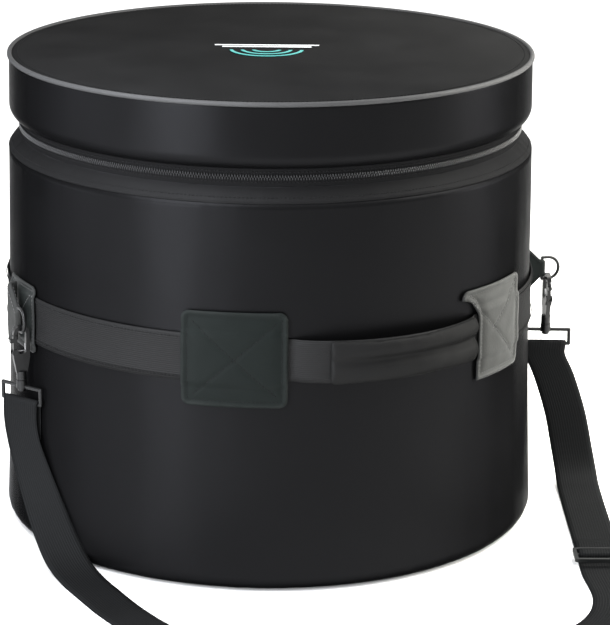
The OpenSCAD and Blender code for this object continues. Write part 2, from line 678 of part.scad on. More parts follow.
body_cloth();
body_foam();
body_lining();
base_cloth();
base_foam();
base_lining();
lid_top_cloth();
lid_top_foam();
lid_top_lining();
lid_band_cloth();
lid_band_foam();
lid_band_lining();
lid_piping();
lid_emblem_bars();
lid_emblem_ripples();
zip_tape_lower();
zip_tape_upper();
zip_coil_lower();
zip_coil_upper();
zip_stops();
zip_slider_a();
zip_slider_b();
zip_pull_a();
zip_pull_b();
hinge_panel();
belt_right();
belt_left();
patch_front_left();
patch_front_right();
patch_back_left();
patch_back_right();
ring_patch_right();
ring_patch_left();
ring_tab_right();
ring_tab_left();
strap_ring_right();
strap_ring_left();
handle_front_webbing();
handle_front_grip();
handle_back_webbing();
handle_back_grip();
hook_right();
hook_left();
hook_gate_right();
hook_gate_left();
gate_spring_right();
gate_spring_left();
strap_loop_right();
strap_loop_left();
strap_fold_right();
strap_fold_left();
strap_webbing();
strap_return();
strap_adjuster();
adjuster_fold();
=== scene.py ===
"""Looks for a round padded soft case: cloth, leather, webbing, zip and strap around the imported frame.

Lengths are metres. Angles round the case are degrees counted from the front (-Y) towards +X.
"""

import math

import bpy
from mathutils import Matrix, Vector, geometry, noise


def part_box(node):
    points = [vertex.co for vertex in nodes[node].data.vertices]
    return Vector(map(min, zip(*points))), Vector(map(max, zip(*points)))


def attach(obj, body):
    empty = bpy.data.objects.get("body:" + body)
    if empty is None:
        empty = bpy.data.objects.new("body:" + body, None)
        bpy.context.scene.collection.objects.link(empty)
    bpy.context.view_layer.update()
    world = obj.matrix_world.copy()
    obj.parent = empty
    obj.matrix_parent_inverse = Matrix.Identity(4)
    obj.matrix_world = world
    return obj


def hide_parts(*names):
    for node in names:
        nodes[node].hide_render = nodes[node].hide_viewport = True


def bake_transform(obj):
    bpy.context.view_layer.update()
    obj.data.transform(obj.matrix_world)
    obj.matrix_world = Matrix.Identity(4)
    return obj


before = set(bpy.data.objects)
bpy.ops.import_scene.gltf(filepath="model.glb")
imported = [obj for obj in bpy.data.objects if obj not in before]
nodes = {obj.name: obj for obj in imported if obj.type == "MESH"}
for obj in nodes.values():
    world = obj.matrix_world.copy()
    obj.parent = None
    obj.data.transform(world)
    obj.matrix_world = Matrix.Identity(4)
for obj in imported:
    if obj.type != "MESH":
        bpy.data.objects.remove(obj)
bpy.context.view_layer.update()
MM = 0.001


def add_object(name, data):
    """New object in the scene."""
    made = bpy.data.objects.new(name, data)
    bpy.context.scene.collection.objects.link(made)
    return made


# ---------- camera ----------
CAMERA_AT = Vector((-1.0787, -2.4469, 0.9562))
CAMERA_TURN = 24.5  # degrees the view is turned from +Y towards +X
CAMERA_DIP = 16.09  # degrees that it looks down
CAMERA_ROLL = 0.492
CAMERA_LENS = 170.4


def make_camera():
    turn, dip, roll = (math.radians(x) for x in (CAMERA_TURN, CAMERA_DIP, CAMERA_ROLL))
    ahead = Vector((math.sin(turn) * math.cos(dip), math.cos(turn) * math.cos(dip), -math.sin(dip)))
    flat = Vector((math.cos(turn), -math.sin(turn), 0))
    upright = flat.cross(ahead)
    right = flat * math.cos(roll) + upright * math.sin(roll)
    up = upright * math.cos(roll) - flat * math.sin(roll)
    data = bpy.data.cameras.new("camera")
    data.lens = CAMERA_LENS
    data.clip_end = 100
    camera = add_object("camera", data)
    camera.matrix_world = Matrix.Translation(CAMERA_AT) @ Matrix((right, up, -ahead)).transposed().to_4x4()
    bpy.context.scene.camera = camera


make_camera()

# ---------- places, read from the frame ----------
WALL_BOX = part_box("body_cloth")
LID_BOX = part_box("lid_band_cloth")
BELT_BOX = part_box("belt_right")
TOP_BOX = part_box("lid_top_cloth")
FLOOR_R = WALL_BOX[1].x  # radius of the wall at the floor
SHOULDER_TOP = WALL_BOX[1].z
SHOULDER_R = 13 * MM
HEM_R = 14 * MM  # rounding at the floor
SAG = 3.5 * MM  # how far the wall settles outwards at the floor
WALL_TOP_R = FLOOR_R - 3 * MM
SHOULDER_Z = SHOULDER_TOP - SHOULDER_R
LID_R = LID_BOX[1].x
LID_LOW = LID_BOX[0].z
LID_ARC_Z = LID_LOW + SHOULDER_R
LID_TOP = TOP_BOX[1].z
ZIP_Z = (SHOULDER_TOP + LID_LOW) / 2
BELT_Z = (BELT_BOX[0].z + BELT_BOX[1].z) / 2
BELT_W = BELT_BOX[1].z - BELT_BOX[0].z
CLOTH_T = 1.2 * MM
LINING_T = 1.0 * MM
PADDING_DEPTH = 11 * MM  # from the wall's outside to the padding's inside
LINING_DEPTH = 12 * MM
LINING_DRAFT = 3 * MM  # how far the lining leans in on its way up
SHOULDER_RUN = 12 * MM  # the rim band's slope, inwards and upwards
SHOULDER_RISE = 12.4 * MM
SHOULDER_CURVE = 0.85
RIM_SEAM = 5  # point of the rim band's profile where its stitching runs


def polar(r, a, z):
    """Point at radius r, angle a and height z."""
    t = math.radians(a)
    return Vector((r * math.sin(t), -r * math.cos(t), z))


def level(a):
    """Level direction at an angle from +X towards +Y."""
    t = math.radians(a)
    return Vector((math.cos(t), math.sin(t), 0))


def seam_point(r, a, z):
    """The same point with its outward direction, for sewing."""
    return polar(r, a, z), polar(1, a, 0)


def hollow(distance, width):
    """1 in the middle of a groove or ridge, falling to 0 about a width away."""
    return math.exp(-(distance / width) ** 2)


def squarish(value, power):
    """value raised to power with its sign kept; below 1 it squares off a round section."""
    return math.copysign(abs(value) ** power, value)


def clamp(value, low=0.0, high=1.0):
    return max(low, min(high, value))


def wall_r(z):
    """Radius of the case's outer cloth at height z: as the CAD has it, sagging outwards below the webbing."""
    sag = max(0.0, (BELT_BOX[0].z - z) / (BELT_BOX[0].z - HEM_R))
    return FLOOR_R + (WALL_TOP_R - FLOOR_R) * (z - HEM_R) / (SHOULDER_Z - HEM_R) + SAG * sag ** 1.5


def ease(t):
    """Smooth step from 0 to 1."""
    t = clamp(t)
    return t * t * (3 - 2 * t)


def spread(a, b, count):
    """count + 1 values from a to b."""
    return [a + (b - a) * i / count for i in range(count + 1)]


def uneven(x, y, z):
    """Smooth random value between -1 and 1 at a place."""
    return noise.noise(Vector((x, y, z)))


def waves(a, z, across, up, lift=0.0, turn=0.0):
    """The same round the case: across and up say how fast it changes sideways and upwards."""
    p = polar(1, a, 0)
    return uneven(p.x * across + turn, p.y * across, z * up + lift)


def soft_dent(a, z):
    """How far the padded wall gives inwards: broad waves, and puckers next to the seams."""
    near_seam = math.exp(-min(z - HEM_R * 0.6, SHOULDER_Z - z) / (9 * MM)) if z < SHOULDER_Z else 1.0
    pucker = 0.45 * min(1, near_seam) * waves(a, z, 46, 20)
    return MM * (0.75 + 0.55 * waves(a, z, 3.1, 7) + 0.25 * waves(a, z, 9, 2.2, 5) + pucker)


def lid_dent(a, z):
    """The same for the lid's band."""
    near_piping = math.exp(-(LID_TOP - z) / (8 * MM))
    return MM * (0.45 + 0.35 * waves(a, z, 3.4, 9, turn=7) + 0.3 * near_piping * waves(a, z, 52, 20))


def rim_dent(a, z):
    """The rim band puckers where the zip tape is sewn to it."""
    return MM * (0.55 + 0.5 * waves(a, z, 60, 30) + 0.3 * waves(a, 0, 12, 0, 3))


def lining_dent(a, z):
    """Faint waves in a lining."""
    return MM * (0.3 * waves(a, z, 8, 16) - 0.3)


def soft_floor(x, y, z):
    """Height of a flat lining that lies slightly uneven."""
    return z + 0.35 * MM * uneven(x * 14, y * 14, 0)


# ---------- materials ----------
class Shader:
    """Builds one material: a Principled surface with named sockets and a bump."""

    def __init__(self, name, **sockets):
        self.material = bpy.data.materials.new(name)
        self.material.use_nodes = True
        self.tree = self.material.node_tree
        self.surface = self.tree.nodes["Principled BSDF"]
        for socket, value in sockets.items():
            self.surface.inputs[socket.replace("_", " ")].default_value = value

    def link(self, value, socket):
        """Sets a socket to a number, a colour or another node's output."""
        if isinstance(value, bpy.types.NodeSocket):
            self.tree.links.new(value, socket)
        else:
            socket.default_value = value

    def node(self, kind, inputs=(), **settings):
        made = self.tree.nodes.new("ShaderNode" + kind)
        for key, value in settings.items():
            setattr(made, key, value)
        for key, value in dict(inputs).items():
            self.link(value, made.inputs[key])
        return made

    def math(self, operation, a, b=0.0):
        return self.node("Math", {0: a, 1: b}, operation=operation).outputs[0]

    def sine(self, value, pitch):
        """Wave of that pitch along value, from -1 to 1."""
        return self.math("SINE", self.math("MULTIPLY", value, 2 * math.pi / pitch))

    def cloth_place(self):
        """Across and along the piece, in metres."""
        place = self.node("UVMap", uv_map="cloth").outputs[0]
        split = self.node("SeparateXYZ", {0: place})
        return place, split.outputs[0], split.outputs[1]

    def solid_place(self):
        return self.node("TexCoord").outputs["Object"]

    def grain(self, place, scale, detail=2.0, roughness=0.5):
        inputs = {"Vector": place, "Scale": scale, "Detail": detail, "Roughness": roughness}
        return self.node("TexNoise", inputs).outputs["Fac"]

    def mix(self, share, a, b):
        """Colour between a and b."""
        made = self.node("Mix", data_type="RGBA")
        self.link(share, made.inputs["Factor"])
        self.link(a, made.inputs[6])
        self.link(b, made.inputs[7])
        return made.outputs[2]

    def remap(self, value, low, high, to_low=0.0, to_high=1.0):
        inputs = {"Value": value, 1: low, 2: high, 3: to_low, 4: to_high}
        return self.node("MapRange", inputs).outputs[0]

    def finish(self, colour, height, bump, distance=0.3 * MM, roughness=None):
        self.link(colour, self.surface.inputs["Base Color"])
        if roughness is not None:
            self.link(roughness, self.surface.inputs["Roughness"])
        made = self.node("Bump", {"Height": height, "Strength": bump, "Distance": distance})
        self.tree.links.new(made.outputs[0], self.surface.inputs["Normal"])
        return self.material


def rgb(r, g, b):
    return (r, g, b, 1.0)


SATIN_TINT = rgb(0.3, 0.3, 0.3)  # keeps a satin thread's edge dark
PRINT_WEAVE = 1.1 * MM


def scaled(colour, share):
    return rgb(*(c * share for c in colour[:3]))


def fabric(name, colour, pattern, pitch, bump, roughness, satin, weave_shade_and_tone):
    """Woven cloth. pattern is plain, twill, rib (ribs along the length) or herringbone.

    satin is the share of the light the threads return as a soft shine, with no bright edge."""
    s = Shader(name, Specular_IOR_Level=0.0, Metallic=satin, Specular_Tint=SATIN_TINT, Roughness=roughness)
    place, across, along = s.cloth_place()
    if pattern == "plain":
        height = s.math("MULTIPLY", s.sine(across, pitch), s.sine(along, pitch))
    elif pattern == "twill":
        diagonal = s.sine(s.math("ADD", across, along), pitch)
        height = s.math("ADD", diagonal, s.math("MULTIPLY", s.sine(across, pitch / 2), 0.35))
    elif pattern == "rib":
        height = s.math("ADD", s.sine(across, pitch), s.math("MULTIPLY", s.sine(along, pitch / 2), 0.5))
    else:
        zigzag = s.math("PINGPONG", across, 4 * MM)
        height = s.sine(s.math("ADD", along, zigzag), pitch)
    thread = s.remap(height, -1, 1)
    patchy = s.grain(place, 14, 3)
    fuzz = s.grain(place, 900, 2)
    # colour follows the weave: painted shade in its hollows and painted highlight on its threads, mixed with
    # random patches of tone
    shade = s.math("ADD", s.math("MULTIPLY", thread, 0.6), s.math("MULTIPLY", patchy, 0.4))
    base = s.mix(shade, scaled(colour, 1 - weave_shade_and_tone), scaled(colour, 1 + weave_shade_and_tone))
    rough = s.remap(patchy, 0.3, 0.7, roughness - 0.06, roughness + 0.06)
    total = s.math("ADD", thread, s.math("MULTIPLY", fuzz, 0.4))
    return s.finish(base, total, bump, roughness=rough)


def leather(name, colour, edge_colour):
    """Synthetic leather: fine grain, soft creases and a lighter worn edge."""
    s = Shader(name, Specular_IOR_Level=0.06, Roughness=0.5)
    place = s.cloth_place()[0]
    pebbles = s.node("TexVoronoi", {"Vector": place, "Scale": 620}, feature="SMOOTH_F1").outputs["Distance"]
    creases = s.grain(place, 70, 4, 0.6)
    worn = s.node("Attribute", attribute_name="worn").outputs["Fac"]
    # darker where the creases sink: partly the leather's mottled tone, partly painted shade
    base = s.mix(creases, scaled(colour, 0.8), scaled(colour, 1.2))
    base = s.mix(worn, base, edge_colour)
    height = s.math("ADD", s.math("MULTIPLY", pebbles, 0.8), creases)
    return s.finish(base, height, 0.35, roughness=s.remap(creases, 0.3, 0.7, 0.48, 0.62))


def enamel(name, colour, roughness=0.32, metallic=0.6):
    """Black enamelled metal, scuffed through a little."""
    s = Shader(name, Metallic=metallic, Roughness=roughness, Specular_IOR_Level=0.5)
    place = s.solid_place()
    scuffs = s.grain(place, 160, 4, 0.7)
    worn = s.remap(scuffs, 0.6, 0.8)
    base = s.mix(worn, colour, scaled(colour, 2.2))
    rough = s.remap(scuffs, 0.2, 0.8, roughness - 0.07, roughness + 0.12)
    return s.finish(base, s.grain(place, 900, 2), 0.12, 0.1 * MM, rough)


def plastic(name, colour, roughness, specular):
    """Moulded plastic with a faint texture."""
    s = Shader(name, Roughness=roughness, Specular_IOR_Level=specular)
    place = s.solid_place()
    mottle = s.grain(place, 60, 3)
    base = s.mix(mottle, scaled(colour, 0.85), scaled(colour, 1.15))
    rough = s.remap(mottle, 0.3, 0.7, roughness - 0.05, roughness + 0.08)
    return s.finish(base, s.grain(place, 1500, 2), 0.1, 0.08 * MM, rough)


def printed(name, colour):
    """Flat print on cloth: the weave shows through and the edge of each thread is thin, so the print is
    darker in the weave's hollows, partly from thinner print and partly from painted shade.
    """
    s = Shader(name, Roughness=0.55, Specular_IOR_Level=0.4)
    place = s.solid_place()
    split = s.node("SeparateXYZ", {0: place})
    weave = s.math("MULTIPLY", s.sine(split.outputs[0], PRINT_WEAVE), s.sine(split.outputs[1], PRINT_WEAVE))
    thread = s.remap(weave, -1, 1)
    # darker in the weave's hollows: partly thinner print, partly painted shade
    base = s.mix(thread, scaled(colour, 0.72), colour)
    return s.finish(base, thread, 0.25)


def foam_material():
    s = Shader("foam", Roughness=0.9, Specular_IOR_Level=0.2)
    place = s.solid_place()
    cells = s.node("TexVoronoi", {"Vector": place, "Scale": 700}).outputs["Distance"]
    # darker in the pits of the cells: painted shade
    base = s.mix(cells, rgb(0.035, 0.035, 0.037), rgb(0.06, 0.06, 0.062))
    return s.finish(base, cells, 0.5)


def cord_material(name, colour):
    """Corded piping cloth, wrapped on the bias."""
    s = Shader(name, Roughness=0.5, Specular_IOR_Level=0.0, Metallic=0.4, Specular_Tint=SATIN_TINT)
    place = s.solid_place()
    split = s.node("SeparateXYZ", {0: place})
    around = s.math("ARCTAN2", split.outputs[0], split.outputs[1])
    threads = s.sine(s.math("ADD", around, s.math("MULTIPLY", split.outputs[2], 4)), 0.005)
    thread = s.remap(threads, -1, 1)
    # darker in the grooves between the threads and lighter on them: painted shade and painted highlight
    base = s.mix(thread, scaled(colour, 0.8), scaled(colour, 1.15))
    return s.finish(base, thread, 0.4)


# colour, pattern, thread pitch, bump, roughness, satin, weave_shade_and_tone (how far the colour swings:
# painted shade in the weave's hollows, painted highlight on its threads, and random tone)
FABRICS = {
    "outer_cloth": ((0.0082, 0.0082, 0.0087), "plain", 0.9 * MM, 0.16, 0.34, 0.7, 0.15),
    "rim_cloth": ((0.012, 0.012, 0.0124), "plain", 1.2 * MM, 0.25, 0.5, 0.4, 0.2),
    "lid_cloth": ((0.0112, 0.0112, 0.0114), "twill", 2.6 * MM, 0.9, 0.65, 0.1, 0.8),
    "lining": ((0.016, 0.016, 0.017), "plain", 1.4 * MM, 0.3, 0.85, 0.05, 0.2),
    "zip_tape": ((0.009, 0.009, 0.0094), "herringbone", 1.3 * MM, 0.5, 0.6, 0.3, 0.25),
    "webbing": ((0.0165, 0.0165, 0.0168), "rib", 1.8 * MM, 0.5, 0.48, 0.4, 0.25),
    "strap_webbing": ((0.0105, 0.0108, 0.0112), "rib", 2.4 * MM, 0.6, 0.62, 0.3, 0.4),
    "grip": ((0.013, 0.013, 0.0131), "plain", 1.0 * MM, 0.3, 0.48, 0.45, 0.2),
    "thread": ((0.014, 0.014, 0.0144), "rib", 0.5 * MM, 0.2, 0.5, 0.3, 0.2),
    "thread_light": ((0.08, 0.08, 0.08), "rib", 0.5 * MM, 0.2, 0.5, 0.3, 0.2),
}
# colour, colour of the worn edge
LEATHERS = {
    "leather": ((0.0052, 0.007, 0.0066), (0.014, 0.016, 0.0155)),
    "leather_light": ((0.0175, 0.018, 0.0172), (0.04, 0.04, 0.04)),
    # leather_shaded is leather_light darkened with painted shade; the left ring patch wears it in place of
    # leather_light
    "leather_shaded": ((0.009, 0.0104, 0.01), (0.03, 0.03, 0.03)),
}
MATERIALS = {
    "foam": foam_material(),
    "piping": cord_material("piping", rgb(0.06, 0.06, 0.061)),
    "print_white": printed("print_white", rgb(0.7, 0.72, 0.72)),
    "print_teal": printed("print_teal", rgb(0.02, 0.25, 0.235)),
    "zip_coil": plastic("zip_coil", rgb(0.016, 0.016, 0.017), 0.35, 0.3),
    "zip_metal": enamel("zip_metal", rgb(0.03, 0.03, 0.032), 0.3, 0.8),
    "hardware": enamel("hardware", rgb(0.008, 0.0082, 0.0085)),
    "spring_steel": enamel("spring_steel", rgb(0.3, 0.3, 0.31), 0.35, 1.0),
    "buckle": plastic("buckle", rgb(0.006, 0.0064, 0.0064), 0.4, 0.1),
}
MATERIALS.update({name: fabric(name, rgb(*colour), *look) for name, (colour, *look) in FABRICS.items()})
MATERIALS.update({name: leather(name, rgb(*colour), rgb(*edge)) for name, (colour, edge) in LEATHERS.items()})


# ---------- building pieces ----------
def make_piece(name, points, faces, uvs, body, slot, material=None, replaces=(), thickness=0.0):
    """A mesh piece that rides on a body, or on none yet. uvs holds a place per face corner, in metres."""
    mesh = bpy.data.meshes.new(name)
    mesh.from_pydata([tuple(p) for p in points], [], faces)
    layer = mesh.uv_layers.new(name="cloth")
    for loop, uv in zip(layer.data, (uv for face in uvs for uv in face)):
        loop.uv = uv
    mesh.polygons.foreach_set("use_smooth", [True] * len(mesh.polygons))
    mesh.materials.append(MATERIALS[material or slot])
    piece = add_object(name, mesh)
    if thickness:
        solid = piece.modifiers.new("thickness", "SOLIDIFY")
        solid.thickness = thickness
        solid.offset = -1
    if body:
        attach(piece, body)
    if replaces:
        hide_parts(*replaces)
    return piece


def wear(piece, values):
    """How worn each point of a leather piece is, for its material."""
    layer = piece.data.attributes.new("worn", "FLOAT", "POINT")
    layer.data.foreach_set("value", values)


def grid(place, us, vs, uv, closed=False):
    """Points, faces and corner places of a sheet over us by vs. A closed sheet's us go once round."""
    columns = len(us)
    points = [place(u, v) for v in vs for u in us]
    ends = list(us) + ([us[0] + 360] if closed else [])
    faces, uvs = [], []
    for j in range(len(vs) - 1):
        for i in range(len(ends) - 1):
            k = (i + 1) % columns
            faces.append((j * columns + i, j * columns + k, (j + 1) * columns + k, (j + 1) * columns + i))
            corners = ((i, j), (i + 1, j), (i + 1, j + 1), (i, j + 1))
            uvs.append([uv(ends[c], vs[row]) for c, row in corners])
    return points, faces, uvs


def tube(rings, count, uv, cap_uv=lambda k: (0.0, 0.0)):
    """Faces and corner places of a tube of rings with count points each, closed at both ends."""
    faces, uvs = [], []
    for j in range(rings - 1):
        for k in range(count):
            n = (k + 1) % count
            faces.append((j * count + k, j * count + n, (j + 1) * count + n, (j + 1) * count + k))
            uvs.append([uv(j, k), uv(j, k + 1), uv(j + 1, k + 1), uv(j + 1, k)])
    for cap in (reversed(range(count)), range((rings - 1) * count, rings * count)):
        faces.append(tuple(cap))
        uvs.append([cap_uv(k) for k in range(count)])
    return faces, uvs


def lengths(profile):
    """Length along a profile up to each of its points."""
    total = [0.0]
    for (r0, z0), (r1, z1) in zip(profile, profile[1:]):
        total.append(total[-1] + math.hypot(r1 - r0, z1 - z0))
    return total


def revolved(name, profile, body, slot, dent=None, columns=360, sector=None, solid=False, **options):
    """Cloth whose section is the profile of (radius, height), going up its outer or down its inner side.

    With solid the profile is closed and the piece is a ring."""
    rows = profile + profile[:1] if solid else profile
    run = lengths(rows)
    closed = sector is None
    us = spread(0, 360, columns)[:-1] if closed else spread(*sector, columns)

    def place(a, k):
        r, z = rows[k]
        return polar(r - (dent(a, z) if dent else 0), a, z)

    def uv(a, k):
        return math.radians(a) * FLOOR_R, run[k]

    points, faces, uvs = grid(place, us, range(len(rows)), uv, closed)
    if solid:
        count = len(profile) * columns
        points, faces = points[:count], [tuple(i % count for i in face) for face in faces]
    return make_piece(name, points, faces, uvs, body, slot, **options)


def round_panel(name, radius, height, body, slot, count=64, flip=False, **options):
    """Round flat piece as a grid of quads with no pole; height(x, y) gives each point's z."""
    def place(u, v):
        x, y = u * math.sqrt(1 - v * v / 2) * radius, v * math.sqrt(1 - u * u / 2) * radius
        return Vector((x, y, height(x, y)))

    steps = spread(-1, 1, count)
    points, faces, uvs = grid(place, steps, steps, lambda u, v: tuple(place(u, v))[:2])
    if flip:
        faces = [tuple(reversed(f)) for f in faces]
        uvs = [list(reversed(f)) for f in uvs]
    return make_piece(name, points, faces, uvs, body, slot, **options)


def round_edge(centre_r, centre_z, radius, a0, a1, count):
    """Points (radius, height) of an arc; 0 degrees points outwards and 90 up."""
    return [(centre_r + radius * math.cos(math.radians(a)), centre_z + radius * math.sin(math.radians(a)))
            for a in spread(a0, a1, count)]


def capsules(rows, sides=6):
    """Points, faces and places of many small rounded bars: (middle, half along it, up, radius)."""
    # share of half the bar's length, share of its radius, and how far it is lifted in radii
    stations = ((-1.0, 0.35, -0.7), (-0.72, 1.0, 0.1), (0.0, 1.08, 0.25), (0.72, 1.0, 0.1), (1.0, 0.35, -0.7))
    points, faces, uvs = [], [], []
    for middle, half, up, radius in rows:
        side = half.cross(up).normalized()
        first = len(points)
        for share, size, lift in stations:
            centre = middle + half * share + up * radius * lift
            for k in range(sides):
                t = 2 * math.pi * k / sides
                points.append(centre + (side * math.cos(t) + up * math.sin(t)) * radius * size)
        for j in range(len(stations) - 1):
            for k in range(sides):
                a, b = first + j * sides + k, first + j * sides + (k + 1) % sides
                faces.append((a, b, b + sides, a + sides))
        faces.append(tuple(first + k for k in reversed(range(sides))))
        faces.append(tuple(first + (len(stations) - 1) * sides + k for k in range(sides)))
    for face in faces:
        uvs.append([(points[i].x + points[i].y, points[i].z) for i in face])
    return points, faces, uvs


STITCH = 3.6 * MM  # from one stitch to the next
STITCH_HALF = 1.25 * MM
STITCH_R = 0.42 * MM


def stitch_rows(path):
    """Stitches along a path of (point, normal)."""
    rows, carry = [], STITCH / 2
    for (p, n), (q, _) in zip(path, path[1:]):
        leg = (q - p).length
        at = carry
        while at < leg:
            ahead = (q - p) / leg
            rows.append((p + ahead * at, ahead * STITCH_HALF, n, STITCH_R))
            at += STITCH
        carry = at - leg
    return rows


def sew(name, paths, body, material="thread"):
    """One piece with all the stitches of several paths."""
    rows = [row for path in paths for row in stitch_rows(path)]
    points, faces, uvs = capsules(rows)
    return make_piece(name, points, faces, uvs, body, "strap_webbing", material)


RIBBON_COLUMNS = 8


def ribbon(name, stations, width, thickness, body, slot, replaces=(), crown=0.0):
    """Closed band of webbing. stations are (middle, direction of its width)."""
    middles = [middle for middle, side in stations]
    run = [0.0]
    for p, q in zip(middles, middles[1:]):
        run.append(run[-1] + (q - p).length)
    xs = spread(-0.5, 0.5, RIBBON_COLUMNS)
    ring = [(x, 1) for x in xs] + [(x, -1) for x in reversed(xs)]
    points = []
    for i, (middle, side) in enumerate(stations):
        ahead = (middles[min(i + 1, len(middles) - 1)] - middles[max(i - 1, 0)]).normalized()
        side = Vector(side).normalized()
        normal = ahead.cross(side).normalized()
        for x, face_side in ring:
            share = abs(2 * x)
            half = thickness / 2 * (1 - 0.45 * share ** 8)
            lift = crown * (1 - share ** 2)
            points.append(middle + side * (x * width) + normal * (face_side * half + lift))
    count = len(ring)
    faces, uvs = tube(len(stations), count, lambda j, k: (ring[k % count][0] * width, run[j]),
                      lambda k: (ring[k][0] * width, 0.0))
    return make_piece(name, points, faces, uvs, body, slot, replaces=replaces), run[-1]


# ---------- case ----------
BACK_SEAM = 207.0  # angle where the wall's cloth is joined
SEAM_HALF = 1.1  # angle from the join to the stitching on each side


def wall_profile():
    """Outer cloth from under the floor edge to the seam at the shoulder."""
    hem = round_edge(FLOOR_R + SAG - HEM_R, HEM_R, HEM_R, -88, 0, 9)
    straight = [(wall_r(z), z) for z in spread(HEM_R, SHOULDER_Z - 1 * MM, 64)][1:]
    return hem + straight


def shoulder_profile():
    """Rim band from the wall's seam over the shoulder to the zip tape."""
    slope = [(WALL_TOP_R - SHOULDER_RUN * t, SHOULDER_Z + SHOULDER_RISE * t ** SHOULDER_CURVE)
             for t in spread(0.04, 1, 12)]
    tucked = [(WALL_TOP_R - 2.4 * MM, SHOULDER_Z - 5 * MM), (WALL_TOP_R - 1.2 * MM, SHOULDER_Z - 1.5 * MM)]
    return tucked + slope


def build_case():
    wall = wall_profile()
    shell = revolved("body_shell", wall, "case", "outer_cloth", soft_dent, thickness=CLOTH_T,
                     replaces=["body_cloth"])
    lengths(wall)[-1]

    rim = shoulder_profile()
    band = revolved("body_rim_band", rim, "case", "outer_cloth", rim_dent, material="rim_cloth",
                    thickness=CLOTH_T)
    lengths(rim)[-1]

    outer = [(r - CLOTH_T - 0.4 * MM, max(z, CLOTH_T + 0.2 * MM)) for r, z in wall[2::6]]
    top = [(WALL_TOP_R - (3.5 + 8 * t) * MM, SHOULDER_Z + 9.4 * MM * t ** SHOULDER_CURVE)
           for t in spread(0.1, 0.85, 4)]
    inner = [(WALL_TOP_R - PADDING_DEPTH, SHOULDER_Z + 8 * MM), (FLOOR_R - PADDING_DEPTH, 12.5 * MM),
             (FLOOR_R - PADDING_DEPTH - 2.5 * MM, 6 * MM)]
    padding = revolved("body_padding", outer + top + inner, "case", "foam", columns=120, solid=True,
                       replaces=["body_foam"])

    lining_low, lining_high = 11.5 * MM, SHOULDER_TOP - 1 * MM
    lining = [(FLOOR_R - LINING_DEPTH - LINING_DRAFT * (z - lining_low) / (lining_high - lining_low), z)
              for z in reversed(spread(lining_low, lining_high, 36))]
    piece = revolved("body_inner_lining", lining, "case", "lining", lining_dent, columns=240,
                     thickness=-LINING_T * 0.8, replaces=["body_lining"])
    lengths(lining)[-1]

    build_base()
    out = polar(1, BACK_SEAM, 0)
    seams = [[(polar(wall_r(z) - soft_dent(BACK_SEAM, z) + 0.1 * MM, BACK_SEAM + side, z), out)
              for z in spread(HEM_R, SHOULDER_Z - 4 * MM, 60)] for side in (-SEAM_HALF, SEAM_HALF)]
    sew("body_back_stitching", seams, "case")
    rim_r, rim_z = rim[RIM_SEAM]
    rim_line = [seam_point(rim_r - rim_dent(a, rim_z), a, rim_z) for a in spread(0, 360, 720)]
    sew("body_rim_stitching", [rim_line], "case")


def build_base():
    """Floor panel: outer cloth, padding and lining."""
    lo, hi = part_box("base_cloth")
    outer = round_panel("base_outer", hi.x, lambda x, y: lo.z + 0.02 * MM, "case", "outer_cloth", flip=True,
                        material="rim_cloth", thickness=0.9 * CLOTH_T, replaces=["base_cloth"])
    lo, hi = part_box("base_foam")
    edge = hi.x - 1 * MM

    def quilt(x, y):
        return hi.z - 0.2 * MM - 0.6 * MM * hollow(math.hypot(x, y) - 0.6 * edge, 3 * MM)

    padding = round_panel("base_padding", edge, quilt, "case", "foam", count=40,
                          thickness=hi.z - lo.z - 1 * MM, replaces=["base_foam"])
    lo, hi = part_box("base_lining")
    lining = round_panel("base_inner_lining", hi.x - 0.4 * MM, lambda x, y: soft_floor(x, y, hi.z), "case",
                         "lining", thickness=LINING_T * 0.8, replaces=["base_lining"])


# ---------- lid ----------
def build_lid():
    top_z = LID_TOP - 3.6 * MM
    arc = round_edge(LID_R - SHOULDER_R, LID_ARC_Z, SHOULDER_R, -82, 0, 12)
    side = [(LID_R - 0.5 * MM * (z - LID_ARC_Z) / (top_z - LID_ARC_Z), z)
            for z in spread(LID_ARC_Z, top_z, 16)][1:]
    profile = arc + side + [(LID_R - 1.6 * MM, LID_TOP - 2.4 * MM)]
    band = revolved("lid_band", profile, "lid", "outer_cloth", lid_dent, thickness=CLOTH_T,
                    replaces=["lid_band_cloth"])
    lengths(profile)[-1]

    inset = CLOTH_T + 1.1 * MM
    outer = round_edge(LID_R - SHOULDER_R, LID_ARC_Z, SHOULDER_R - inset, -75, 0, 6)
    lo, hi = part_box("lid_band_foam")
    inner_r = LID_R - 8.6 * MM
    section = outer + [(LID_R - inset - 0.5 * MM, hi.z - 1 * MM), (inner_r, hi.z - 1 * MM),
                       (inner_r, lo.z + 3 * MM)]
    padding = revolved("lid_band_padding", section, "lid", "foam", columns=120, solid=True,
                       replaces=["lid_band_foam"])

    lo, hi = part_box("lid_band_lining")
    inner_r = hi.x - 0.6 * MM
    lining = [(inner_r, z) for z in reversed(spread(lo.z + 0.5 * MM, hi.z - 12 * MM, 12))]
    piece = revolved("lid_band_inner_lining", lining, "lid", "lining", lining_dent, columns=240,
                     thickness=-LINING_T * 0.6, replaces=["lid_band_lining"])
    lengths(lining)[-1]
    build_lid_top()


def lid_crown(x, y):
    """Height of the lid's top: it dips next to the piping and is slightly uneven."""
    edge = TOP_BOX[1].x - math.hypot(x, y)
    dip = math.exp(-edge / (5 * MM))
    pucker = uneven(x * 70, y * 70, 4) * math.exp(-edge / (10 * MM))
    return LID_TOP - MM * (0.25 + 1.1 * dip + 0.2 * (1 + uneven(x * 9, y * 9, 2)) + 0.3 * pucker)


